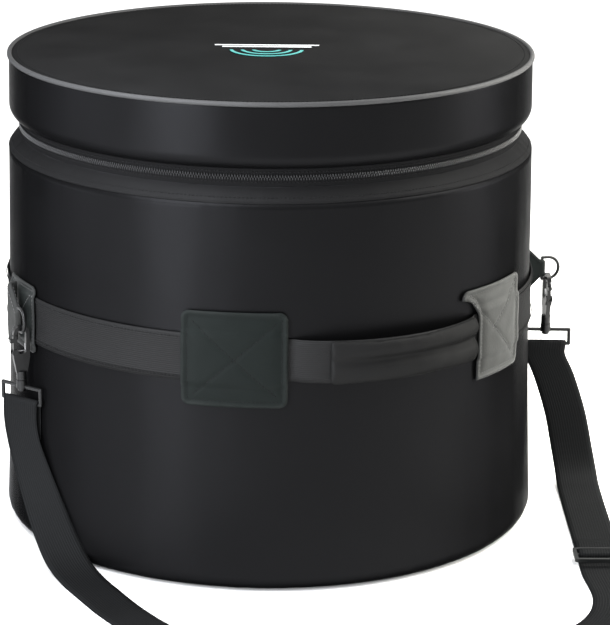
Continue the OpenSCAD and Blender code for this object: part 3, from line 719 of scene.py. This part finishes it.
def build_lid_top():
    panel = round_panel("lid_top_panel", TOP_BOX[1].x + 0.8 * MM, lid_crown, "lid", "lid_cloth", count=110,
                        thickness=CLOTH_T, replaces=["lid_top_cloth"])
    lo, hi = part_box("lid_top_foam")
    padding = round_panel("lid_top_padding", hi.x - 1 * MM, lambda x, y: hi.z - 1.6 * MM, "lid", "foam",
                          count=40, thickness=hi.z - lo.z - 2.2 * MM, replaces=["lid_top_foam"])
    lo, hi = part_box("lid_top_lining")
    lining = round_panel("lid_top_inner_lining", hi.x - 0.6 * MM,
                         lambda x, y: soft_floor(x, y, lo.z + 0.2 * MM), "lid", "lining", flip=True,
                         thickness=LINING_T * 0.8, replaces=["lid_top_lining"])
    ring_r = TOP_BOX[1].x - 5 * MM
    ring_z = lid_crown(ring_r, 0) + 0.1 * MM
    ring = [(polar(ring_r, a, ring_z), Vector((0, 0, 1))) for a in spread(0, 360, 720)]
    sew("lid_top_stitching", [ring], "lid")


# ---------- zip ----------
HINGE_HALF = 20.0  # half the angle that the cloth hinge takes up at the back
TOOTH_PITCH = 2.4 * MM
TOOTH_R = 0.62 * MM
TOOTH_HALF = 1.5 * MM
TOOTH_REACH = 1.1 * MM  # from the zip line to the middle of each tooth
TAPE_SEAM = 4.6 * MM  # from the zip line to each tape's stitching


def build_zip():
    lo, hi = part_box("zip_coil_lower")
    tooth_r = hi.x - 0.8 * MM
    reach = math.radians(180 - HINGE_HALF - 2)
    count = int(2 * reach * tooth_r / TOOTH_PITCH)
    sector = (180 + HINGE_HALF, 540 - HINGE_HALF)
    for row, body, side in (("lower", "case", -1), ("upper", "lid", 1)):
        teeth = []
        for i in range(count):
            a = math.degrees(-reach + 2 * reach * (i + 0.25 + 0.25 * side) / count)
            middle, out = seam_point(tooth_r, a, ZIP_Z + side * TOOTH_REACH)
            teeth.append((middle, Vector((0, 0, TOOTH_HALF)), out, TOOTH_R))
        points, faces, uvs = capsules(teeth, 8)
        make_piece(f"zip_teeth_{row}", points, faces, uvs, body, "zip_coil", replaces=[f"zip_coil_{row}"])
    for row, body, side in (("lower", "case", -1), ("upper", "lid", 1)):
        lo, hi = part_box(f"zip_tape_{row}")
        tape_r = hi.x - 0.1 * MM
        profile = [(tape_r, z) for z in spread(lo.z, hi.z, 12)]
        tape = revolved(f"zip_tape_{row}_cloth", profile, body, "zip_tape", columns=320, sector=sector,
                        thickness=0.8 * MM, replaces=[f"zip_tape_{row}"])
        line = [seam_point(tape_r, a, ZIP_Z + side * TAPE_SEAM) for a in spread(*sector, 640)]
        sew(f"zip_tape_{row}_stitching", [line], body)
    build_hinge()


def build_hinge():
    """Cloth hinge at the back, between the case and the lid."""
    lo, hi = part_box("hinge_panel")
    edge = HINGE_HALF - 0.5
    radius = abs(lo.x) / math.sin(math.radians(edge))
    profile = [(radius - 0.1 * MM, z) for z in spread(lo.z, hi.z + 5 * MM, 24)]
    panel = revolved("hinge_cloth", profile, None, "outer_cloth", material="rim_cloth", columns=60,
                     sector=(180 - edge, 180 + edge), replaces=["hinge_panel"])
    solid = panel.modifiers.new("thickness", "SOLIDIFY")
    solid.thickness = 0.9 * MM
    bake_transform(panel)


# ---------- side webbing and leather ----------
PATCH_AT = 31.0  # angle from the front or back to the middle of each corner patch
BELT_T = 1.5 * MM
BELT_BULGE = 1.0 * MM


def build_belts():
    for side, name in ((1, "right"), (-1, "left")):
        angles = spread(side * (PATCH_AT - 2), side * (180 - PATCH_AT + 2), 160)
        if side < 0:
            angles.reverse()
        r = wall_r(BELT_Z) + 0.15 * MM + BELT_T / 2
        stations = [(polar(r + 0.3 * MM * noise.noise(polar(7, a, 0)), a, BELT_Z), (0, 0, 1)) for a in angles]
        piece, run = ribbon(f"side_webbing_{name}", stations, BELT_W, BELT_T, "case", "webbing",
                            [f"belt_{name}"], crown=-BELT_BULGE)
        seam_r = r + BELT_T / 2 + 0.45 * MM
        paths = [[seam_point(seam_r, a, BELT_Z + edge * (BELT_W / 2 - 3.5 * MM)) for a in angles]
                 for edge in (-1, 1)]
        sew(f"side_webbing_{name}_stitching", paths, "case")


def rounded(w, h, r, inset=0.0, steps=7):
    """Outline of a rectangle with round corners, anticlockwise from the lower right."""
    points = []
    for sx, sy, turn in ((1, -1, -90), (1, 1, 0), (-1, 1, 90), (-1, -1, 180)):
        for a in spread(turn, turn + 90, steps):
            t = math.radians(a)
            reach = max(r - inset, 0.3 * MM)
            points.append((sx * (w / 2 - r) + reach * math.cos(t), sy * (h / 2 - r) + reach * math.sin(t)))
    return points


def cut_outline(w, h, r, inset=0.0):
    """The same with a mouth in its left side, where the grip slips under the leather."""
    mouth_w, mouth_top = 20 * MM, 24 * MM
    middle_x, middle_y = -w / 2, mouth_top - mouth_w / 2
    reach = mouth_w + inset
    points = [p for p in rounded(w, h, r, inset)
              if p[0] > -w / 2 + mouth_w + inset or p[1] > middle_y + reach * 0.92]
    start = math.degrees(math.acos(clamp(inset / reach, -1)))
    low = -h / 2 + inset
    arc = [(middle_x + reach * math.cos(math.radians(a)), middle_y + reach * math.sin(math.radians(a)))
           for a in spread(start, 0, 10)]
    wall = [(middle_x + reach, y) for y in spread(middle_y, low, 9)][1:]
    return order_cut(points, arc + wall)


def order_cut(points, bite):
    """Joins the outline's remaining points, which run anticlockwise, with the bite in their gap."""
    gaps = [math.dist(points[i - 1], points[i]) for i in range(len(points))]
    at = max(range(len(points)), key=lambda i: gaps[i] if points[i][1] < points[i - 1][1] else 0)
    return points[at:] + points[:at] + bite


def evenly(outline, step):
    """The closed outline again with points about step apart, corners kept."""
    made = []
    for p, q in zip(outline, outline[1:] + outline[:1]):
        count = max(1, round(math.dist(p, q) / step))
        made += [between(p, q, i / count) for i in range(count)]
    return made


def off_segment(p, a, b):
    """Distance from p to the segment ab."""
    dx, dy = b[0] - a[0], b[1] - a[1]
    t = ((p[0] - a[0]) * dx + (p[1] - a[1]) * dy) / max(dx * dx + dy * dy, 1e-12)
    t = clamp(t)
    return math.hypot(p[0] - a[0] - t * dx, p[1] - a[1] - t * dy)


def inside(p, outline):
    """Whether p is in the closed outline."""
    odd = False
    for a, b in zip(outline, outline[1:] + outline[:1]):
        if (a[1] > p[1]) != (b[1] > p[1]) and p[0] < (b[0] - a[0]) * (p[1] - a[1]) / (b[1] - a[1]) + a[0]:
            odd = not odd
    return odd


RIM_W = 3.2 * MM
RIM_RISE = 0.9 * MM
GROOVE_AT = 5.0 * MM
GROOVE_DEEP = 0.75 * MM
SEAM_DEEP = 0.7 * MM
LEATHER_T = 1.5 * MM
LEATHER_STEP = 2.2 * MM


def between(a, b, t):
    """Point at share t from a to b."""
    return a[0] + (b[0] - a[0]) * t, a[1] + (b[1] - a[1]) * t


def wrap(angle, x, y, depth):
    """Point of a patch centred at angle: x along the wall, y up, depth off the CAD's cloth."""
    z = BELT_Z + y
    r = wall_r(z)
    return polar(r + depth, angle + math.degrees(math.asin(x / r)), z)


def leather_patch(name, node, angle, outline, seams, slot, material=None, bulge=0.8 * MM):
    """Leather sewn on over the webbing: a raised rim, a stitched groove and pressed seams."""
    closed = evenly(outline(0.0), LEATHER_STEP)
    left, low = min(p[0] for p in closed), min(p[1] for p in closed)
    wide, high = max(p[0] for p in closed) - left, max(p[1] for p in closed) - low
    loose = []
    for i in range(int(wide / LEATHER_STEP) + 1):
        for j in range(int(high / LEATHER_STEP) + 1):
            p = (left + (i + 0.5 * (j % 2)) * LEATHER_STEP, low + j * LEATHER_STEP)
            if inside(p, closed) and edge_distance(p, closed) > 0.6 * LEATHER_STEP:
                loose.append(p)
    flat = [Vector(p) for p in closed + loose]
    ring = [(i, (i + 1) % len(closed)) for i in range(len(closed))]
    made = geometry.delaunay_2d_cdt(flat, ring, [], 1, 1e-7)
    flat, faces = [tuple(p) for p in made[0]], made[2]

    def depth(p):
        away = edge_distance(p, closed)
        over_webbing = 1 - ease((abs(p[1]) - BELT_W / 2) / (4 * MM))
        rim = RIM_RISE * math.exp(-((away - RIM_W / 2) / (0.62 * RIM_W)) ** 4)
        groove = -GROOVE_DEEP * hollow(away - GROOVE_AT, 1.1 * MM)
        puff = bulge * ease((away - GROOVE_AT) / (9 * MM))
        pressed = sum(SEAM_DEEP * hollow(off_segment(p, a, b), 1.3 * MM) for a, b in seams)
        crease = 0.35 * MM * uneven(p[0] * 55 + angle, p[1] * 55, 0)
        base = LEATHER_T + 0.35 * MM + over_webbing * (BELT_T + 0.1 * MM)
        return base + rim + groove + puff - pressed + crease

    def shallow(p, lift):
        return wrap(angle, p[0], p[1], depth(p) + lift)

    points = [shallow(p, 0) for p in flat]
    uvs = [[flat[i] for i in face] for face in faces]
    piece = make_piece(name, points, faces, uvs, "case", slot, material, [node], LEATHER_T)
    wear(piece, [hollow(edge_distance(p, closed) - 1.2 * MM, 1.6 * MM)
                 * (0.6 + 0.4 * uneven(p[0] * 90, p[1] * 90, 3)) for p in flat])
    area = sum(geometry.area_tri(*(Vector((*flat[i], 0)) for i in face)) for face in faces if len(face) == 3)
    up = polar(1, angle, 0)
    inner = evenly(outline(GROOVE_AT), 1.2 * MM)
    border = [(shallow(p, 0.1 * MM), up) for p in inner + inner[:1]]
    crossing = [[(shallow(between(a, b, t), 0.1 * MM), up) for t in spread(0, 1, 80)] for a, b in seams]
    sew(name + "_stitching", [border] + crossing, "case", thread_for(slot))


def thread_for(slot):
    return "thread_light" if slot == "leather_light" else "thread"


def edge_distance(p, closed):
    """Distance from p to the nearest stretch of the closed outline."""
    return min(off_segment(p, a, b) for a, b in zip(closed, closed[1:] + closed[:1]))


PATCH_W, PATCH_H, PATCH_CORNER = 92 * MM, 85 * MM, 7 * MM
RING_PATCH, RING_PATCH_CORNER = 62 * MM, 6 * MM


def build_leather():
    size = (PATCH_W, PATCH_H, PATCH_CORNER)
    x, y = PATCH_W / 2 - 9 * MM, PATCH_H / 2 - 9 * MM
    both = [((-x, -y), (x, y)), ((-x, y), (x, -y))]
    one = [((-x, y), (x, -y)), ((-0.05 * PATCH_W, 0.0), (x, y))]
    plain, cut = (lambda inset: rounded(*size, inset)), (lambda inset: cut_outline(*size, inset))
    for name, angle, outline, seams, slot in (
        ("patch_front_left", -PATCH_AT, plain, both, "leather"),
        ("patch_front_right", PATCH_AT, cut, one, "leather_light"),
        ("patch_back_right", 180 - PATCH_AT, plain, both, "leather"),
        ("patch_back_left", 180 + PATCH_AT, cut, one, "leather"),
    ):
        leather_patch("leather_" + name, name, angle, outline, seams, slot)
    reach = RING_PATCH / 2 - 8 * MM
    small = [((-reach, -reach), (reach, reach)), ((-reach, reach), (reach, -reach))]
    # the left ring patch keeps the leather_light slot but wears leather_shaded, its copy darkened with
    # painted shade
    for name, angle, slot, material in (("ring_patch_right", 80.0, "leather", "leather"),
                                        ("ring_patch_left", -90.0, "leather_light", "leather_shaded")):
        leather_patch("leather_" + name, name, angle,
                      lambda inset: rounded(RING_PATCH, RING_PATCH, RING_PATCH_CORNER, inset), small, slot,
                      material, 0.2 * MM)


# ---------- handles ----------
HANDLE_W = 38 * MM
BOW_FROM, BOW_TO = -18.6, 23.7  # angles between which the webbing stands off the wall
BOW = 14 * MM  # how far off it stands
GRIP_FROM, GRIP_TO = -12.0, 23.0
GRIP_H, GRIP_T = 45 * MM, 11 * MM


def handle_r(a):
    """Radius of the middle of the handle webbing."""
    t = clamp((a - BOW_FROM) / (BOW_TO - BOW_FROM))
    return wall_r(BELT_Z) + 0.85 * MM + BOW * math.sin(math.pi * t) ** 0.6


def build_handle(turn, name):
    angles = spread(-PATCH_AT + 0.5, PATCH_AT - 0.5, 90)
    stations = [(polar(handle_r(a), a + turn, BELT_Z), (0, 0, 1)) for a in angles]
    piece, run = ribbon(f"handle_{name}_strap", stations, HANDLE_W, 1.3 * MM, "case", "webbing",
                        [f"handle_{name}_webbing"])
    build_grip(turn, name)


GRIP_VOXEL = 2.5 * MM
GRIP_CAP = 3.5 * MM  # furthest that the swelling may move a point
SWELL_FRAMES = 20
VALLEY = 4.6 * MM  # depth between a grip's two lobes
LOBE = 1.2 * MM


def swell(piece):
    """Swells a closed piece as stuffing does, with Blender's Cloth, and keeps the result as its mesh."""
    even = piece.modifiers.new("even", "REMESH")
    even.mode = "VOXEL"
    even.voxel_size = GRIP_VOXEL
    graph = bpy.context.evaluated_depsgraph_get()
    graph.update()
    mesh = bpy.data.meshes.new_from_object(piece.evaluated_get(graph))
    piece.modifiers.clear()
    piece.data = mesh
    start = [v.co.copy() for v in mesh.vertices]
    cloth = piece.modifiers.new("stuffing", "CLOTH")
    cloth.settings.use_pressure = True
    cloth.settings.uniform_pressure_force = 4
    cloth.settings.effector_weights.gravity = 0
    cloth.collision_settings.use_collision = False
    for step in range(SWELL_FRAMES):
        bpy.context.scene.frame_set(step + 1)
    graph = bpy.context.evaluated_depsgraph_get()
    swollen = [v.co.copy() for v in piece.evaluated_get(graph).data.vertices]
    piece.modifiers.clear()
    bpy.context.scene.frame_set(1)
    for vertex, before, after in zip(mesh.vertices, start, swollen):
        move = after - before
        vertex.co = before + move * min(1.0, GRIP_CAP / max(move.length, 1e-9))


def build_grip(turn, name):
    """Padded wrap round the handle webbing: swollen first, then sewn into two lobes, one above the other."""
    count, steps = 32, 40
    angles = spread(GRIP_FROM, GRIP_TO, steps)

    def place(k, i):
        t = 2 * math.pi * k / count
        end = 0.94 if i in (0, steps) else 1.0
        out = squarish(math.cos(t), 0.8) * (GRIP_T / 2 - 1 * MM) * end
        up = squarish(math.sin(t), 0.8) * (GRIP_H / 2 - 2 * MM) * end
        return polar(handle_r(angles[i]) + out, angles[i], BELT_Z + up)

    points = [place(k, i) for i in range(steps + 1) for k in range(count)]
    faces, uvs = tube(steps + 1, count, lambda i, k: (0.0, 0.0))
    piece = make_piece(f"handle_{name}_pad", points, faces, uvs, None, "grip",
                       replaces=[f"handle_{name}_grip"])
    swell(piece)
    mesh = piece.data
    for vertex in mesh.vertices:
        a = math.degrees(math.atan2(vertex.co.x, -vertex.co.y))
        r, up = math.hypot(vertex.co.x, vertex.co.y), vertex.co.z - BELT_Z
        out = r - handle_r(a)
        share = 0.4 + 0.6 * ease((a - GRIP_FROM) / (GRIP_TO - GRIP_FROM) * 3)
        if out > 0:
            facing = ease(out / (3 * MM)) * share
            out -= facing * VALLEY * hollow(up - 1 * MM, 3.4 * MM)
            out += facing * LOBE * hollow(abs(up) - 11.5 * MM, 6 * MM)
            out += facing * 0.6 * MM * uneven(a * 0.35, up * 70, turn)
        out = min(out, GRIP_T / 2 + 1.6 * MM)
        r = max(handle_r(a) + out, wall_r(BELT_Z) + 1.2 * MM)
        vertex.co = polar(r, a + turn, vertex.co.z)
    layer = mesh.uv_layers.get("cloth") or mesh.uv_layers.new(name="cloth")
    for loop in mesh.loops:
        co = mesh.vertices[loop.vertex_index].co
        a = math.degrees(math.atan2(co.x, -co.y)) - turn
        layer.data[loop.index].uv = (co.z, math.radians((a + 180) % 360 - 180) * FLOOR_R)
    mesh.polygons.foreach_set("use_smooth", [True] * len(mesh.polygons))
    smooth = piece.modifiers.new("smooth", "SUBSURF")
    smooth.levels = smooth.render_levels = 1
    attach(piece, "case")


# ---------- strap rings' tabs ----------
RING_REACH = 16.5 * MM  # from a strap ring's bar to its round end, between wire middles


def tab_frame(node, turn):
    """Where a strap ring's bar stands, as a matrix: +X runs from the case to the bar."""
    lo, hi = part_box(node)
    bar = (lo + hi) / 2 - level(turn) * RING_REACH / 2
    return Matrix.Translation(bar) @ Matrix.Rotation(math.radians(turn), 4, "Z")


def ring_tab(name, node, place, path, slot):
    """Leather folded round the ring's bar. path is (x, y, half height, half thickness)."""
    count = 28
    run = lengths([(x, y) for x, y, half_h, half_t in path])
    points = []
    for i, (x, y, half_h, half_t) in enumerate(path):
        before, after = path[max(i - 1, 0)], path[min(i + 1, len(path) - 1)]
        ahead = Vector((after[0] - before[0], after[1] - before[1], 0)).normalized()
        side = Vector((-ahead.y, ahead.x, 0))
        for k in range(count):
            t = 2 * math.pi * k / count
            c = math.cos(t)
            up = squarish(math.sin(t), 0.55) * half_h
            out = squarish(c, 0.4) * half_t + 0.25 * MM * c * uneven(x * 120, up * 120, 1)
            points.append(place @ (Vector((x, y, 0)) + side * out + Vector((0, 0, up))))
    faces, uvs = tube(len(path), count, lambda j, k: (k * 4 * MM, run[j]))
    piece = make_piece(name, points, faces, uvs, "case", slot, replaces=[node])
    wear(piece, [0.5 * abs(math.sin(2 * math.pi * (v % count) / count)) ** 6 for v in range(len(points))])
    paths = []
    for face_side in (-1, 1):
        normal = place.to_3x3() @ Vector((0, face_side, 0))
        for edge in (-1, 1):
            spots = [Vector((x, y + face_side * (half_t + 0.05 * MM), edge * (half_h - 3.2 * MM)))
                     for x, y, half_h, half_t in path[2:-3]]
            paths.append([(place @ spot, normal) for spot in spots])
    sew(name + "_stitching", paths, "case", thread_for(slot))


TAB_HALF_H, BAR_HALF_H = 28, 8.5  # half height of a tab at the case and at the bar, in millimetres


def build_tabs():
    blade = [(x, 0, TAB_HALF_H + (BAR_HALF_H - TAB_HALF_H) * (x + 22) / 20, 2.7) for x in spread(-22, -3, 12)]
    tip = [(-1, 0, 8.4, 3.0), (1, 0, 8.2, 2.9), (2.2, 0, 7.8, 2.2), (2.9, 0, 7.0, 1.0)]
    root = [(-22.6, 0, TAB_HALF_H, 3.6)]
    foot = [(-26.5, 7.2, TAB_HALF_H, 2.2), (-26, 4.5, TAB_HALF_H, 2.4), (-24.5, 1.6, TAB_HALF_H, 2.6)]
    for side, turn, start, slot in (("right", -10, root, "leather"), ("left", -90, foot, "leather_light")):
        path = [[part * MM for part in station] for station in start + blade + tip]
        ring_tab(f"tab_{side}", f"ring_tab_{side}", tab_frame(f"strap_ring_{side}", turn), path, slot)


# ---------- shoulder strap ----------
STRAP_W = 40 * MM
STRAP_T = 1.6 * MM
# Middle of the webbing, in millimetres, then the angle of its width seen from above.
ROUTE = [
    (-257, -24.8, 136.4, -62), (-257, -24.8, 118, -62), (-256, -31, 100, -60),
    (-253, -46, 76, -52), (-250, -67, 50, -42), (-247, -89, 26, -30), (-244, -113, 9, -16),
    (-241, -140, 2, -4), (-239, -175, 1.2, 2), (-236, -220, 1.2, 6), (-228, -268, 1.2, 14),
    (-210, -322, 1.2, 30), (-172, -372, 1.2, 46), (-115, -412, 1.2, 62),
    (-45, -436, 1.2, 77), (30, -442, 1.2, 91), (95, -430, 1.2, 108), (140, -404, 1.2, 128),
    (171, -364, 1.2, 146), (192, -308, 1.2, 156), (205, -278, 1.2, 156.4),
    (230, -221, 1.2, 156.4), (255, -163.5, 1.2, 156.4), (275, -118, 1.4, 156.4),
    (286, -92, 4.5, 156), (292, -76, 14, 155), (293, -65, 34, 155), (289, -57, 68, 155),
    (279.5, -50, 104, 155), (271.3, -45.1, 125, 155), (271.3, -45.1, 136, 155),
]
LAST = len(ROUTE) - 1
RETURN_FROM = 20.1  # where on the route the second layer ends
LAYER_RISE = 2.4 * MM  # from the first layer's middle to the second's
FOLD_MID = 2.75 * MM  # from a loop's lower bar to the middle of the webbing


def along(u):
    """Point of the route and angle of its width at u, on a smooth curve through its points."""
    i = min(LAST - 1, int(u))
    a, b, c, d = (ROUTE[max(0, min(LAST, i + k))] for k in (-1, 0, 1, 2))
    t = u - i
    made = [0.5 * (2 * q + (r - p) * t + (2 * p - 5 * q + 4 * r - s) * t * t
                   + (3 * q - p - 3 * r + s) * t ** 3) for p, q, r, s in zip(a, b, c, d)]
    return Vector(made[:3]) * MM, made[3]


def strap_station(u, rise=0.0):
    """Middle and width of the webbing at u, moved off the route by rise."""
    middle, angle = along(u)
    ahead = (along(min(LAST, u + 0.002))[0] - along(max(0, u - 0.002))[0]).normalized()
    width = level(angle)
    normal = ahead.cross(width).normalized()
    return middle + normal * rise, width


def loop_arc(bar, turn, start, end, width):
    """Webbing over a loop's lower bar, from one side to the other."""
    t = math.radians(turn)
    side = Vector((-math.sin(t), math.cos(t), 0))
    arc = round_edge(0, 0, FOLD_MID, start, end, 12)
    return [(bar + side * out + Vector((0, 0, up)), width) for out, up in arc]


def return_rise(u):
    """How far the second layer stands off the route at u: it opens out towards the loop."""
    part = clamp((u - LAST + 2) / 1.6)
    return LAYER_RISE + (2 * FOLD_MID - LAYER_RISE) * part ** 2


def loop_bar(node):
    """Middle of a loop's lower bar."""
    lo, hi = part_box(node)
    return Vector(((lo.x + hi.x) / 2, (lo.y + hi.y) / 2, lo.z + 1.8 * MM))


def build_strap():
    start_width = strap_station(0)[1]
    end_width = strap_station(LAST)[1]
    left, right = loop_bar("strap_loop_left"), loop_bar("strap_loop_right")
    left_arc = loop_arc(left, -62, 0, 180, start_width)
    first = left_arc[0][0]
    tail = [(first - Vector((0, 0, d * MM)), start_width) for d in (34, 26, 18, 10, 4)]
    steps = [k / 8 for k in range(LAST * 8 + 1)]
    main = [strap_station(u) for u in steps]
    right_arc = loop_arc(right, -25, 0, 180, end_width)
    back = [strap_station(u, return_rise(u)) for u in reversed(steps) if u >= RETURN_FROM]
    stations = tail + left_arc + main + right_arc + back
    piece, run = ribbon("shoulder_strap", stations, STRAP_W, STRAP_T, "case", "strap_webbing",
                        ["strap_webbing", "strap_return", "strap_fold_left", "strap_fold_right"])
    side = first - left
    side.z = 0
    side.normalize()
    rows = [[(first + side * STRAP_T * 0.55 + start_width * x * MM - Vector((0, 0, height * MM)), side)
             for x in (-16, 0, 16)] for height in (8, 26)]
    sew("shoulder_strap_tail_stitching", rows, "case")
    build_adjuster_fold()


ADJUSTER_TURN = 66.4  # heading of the strap at the adjuster
ADJUSTER_WIRE = 1.5 * MM  # radius of its middle bar


def build_adjuster_fold():
    """End of the webbing folded round the adjuster's middle bar."""
    lo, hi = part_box("strap_adjuster")
    middle = (lo + hi) / 2
    t = math.radians(ADJUSTER_TURN)
    ahead, width = Vector((math.cos(t), math.sin(t), 0)), Vector((-math.sin(t), math.cos(t), 0))
    reach = ADJUSTER_WIRE + 0.15 * MM + STRAP_T / 2

    def at(x, z):
        return middle + ahead * x + Vector((0, 0, z))

    stations = [(at(x * MM, -reach), width) for x in (44, 36, 28, 20, 12, 6, 2)]
    stations += [(at(-reach * math.sin(math.radians(a)), -reach * math.cos(math.radians(a))), width)
                 for a in spread(0, 180, 12)]
    stations += [(at(x * MM, reach), width) for x in (3, 6, 9)]
    piece, run = ribbon("adjuster_webbing", stations, STRAP_W - 1 * MM, STRAP_T, "adjuster", "strap_webbing",
                        ["adjuster_fold"])


# ---------- carried-over nodes ----------
SIDES = ("right", "left")
FINISHES = {
    "piping": ["lid_piping"],
    "print_white": ["lid_emblem_bars"],
    "print_teal": ["lid_emblem_ripples"],
    "zip_metal": ["zip_stops", "zip_slider_a", "zip_slider_b", "zip_pull_a", "zip_pull_b"],
    "hardware": [f"{part}_{side}" for part in ("strap_ring", "hook", "hook_gate", "strap_loop")
                 for side in SIDES],
    "spring_steel": [f"gate_spring_{side}" for side in SIDES],
    "buckle": ["strap_adjuster"],
}


def finish_nodes():
    for material, names in FINISHES.items():
        for name in names:
            slots = nodes[name].material_slots
            for slot in slots:
                slot.material = MATERIALS[material]
            if not slots:
                nodes[name].data.materials.append(MATERIALS[material])


# ---------- stage ----------
WHITE, COOL, WARM = (1, 1, 1), (0.92, 0.95, 1.0), (1.0, 0.99, 0.92)
CASE_MIDDLE = Vector((0, 0, 0.22))
FLOOR_REACH = 40
# name, angle from the camera's side, elevation, distance, size, power, colour
LIGHTS = (
    ("light_top", 0, 88, 2.6, (3.2, 3.2), 55, WHITE),
    ("light_far", 180, 44, 4.4, (4.5, 4.5), 60, WHITE),
    ("light_left", -37, 1, 2.1, (0.3, 0.9), 40, COOL),
    ("light_left_flank", -95, 1, 2.1, (1.9, 0.9), 30, COOL),
    ("light_right", 103, 1, 2.0, (0.8, 0.9), 90, WARM),
)
# the same for soft boxes that light the floor beside the case, for its cloth to mirror down to the hem
FLOOR_LIGHTS = (
    ("light_left_floor", -36, 40, 1.1, (0.25, 1.1), 13, COOL),
    ("light_right_floor", 103, 40, 1.1, (0.7, 1.1), 30, WARM),
)
LIT_FLOOR_R = 0.82


def area_light(name, azimuth, elevation, distance, size, power, colour, centre, aim):
    """Soft box at an angle and distance round centre, facing the point aim."""
    e = math.radians(elevation)
    spot = polar(distance * math.cos(e), azimuth, centre.z + distance * math.sin(e))
    data = bpy.data.lights.new(name, "AREA")
    data.shape = "RECTANGLE"
    data.size, data.size_y = size
    data.energy = power
    data.color = colour
    light = add_object(name, data)
    light.location = spot
    light.rotation_euler = (aim - spot).to_track_quat("-Z", "Y").to_euler()


def build_stage():
    mesh = bpy.data.meshes.new("floor")
    corners = [(x * FLOOR_REACH, y * FLOOR_REACH, 0) for x, y in ((-1, -1), (1, -1), (1, 1), (-1, 1))]
    mesh.from_pydata(corners, [], [(0, 1, 2, 3)])
    s = Shader("floor", Roughness=0.9, Specular_IOR_Level=0.1)
    s.surface.inputs["Base Color"].default_value = rgb(0.9, 0.9, 0.9)
    mesh.materials.append(s.material)
    floor = add_object("floor", mesh)
    world = bpy.data.worlds.new("studio")
    bpy.context.scene.world = world
    world.use_nodes = True
    sky = world.node_tree.nodes["Background"]
    sky.inputs["Color"].default_value = rgb(1, 1, 1)
    sky.inputs["Strength"].default_value = 1.0
    front = -CAMERA_TURN
    for name, turn, *light in LIGHTS:
        area_light(name, front + turn, *light, CASE_MIDDLE, CASE_MIDDLE)
    for name, turn, *light in FLOOR_LIGHTS:
        area_light(name, front + turn, *light, Vector(), polar(LIT_FLOOR_R, front + turn, 0))
    view = bpy.context.scene.view_settings
    view.view_transform = "Standard"
    view.look = "None"


build_case()
build_lid()
build_zip()
build_belts()
build_leather()
build_handle(0, "front")
build_handle(180, "back")
build_tabs()
build_strap()
finish_nodes()
build_stage()
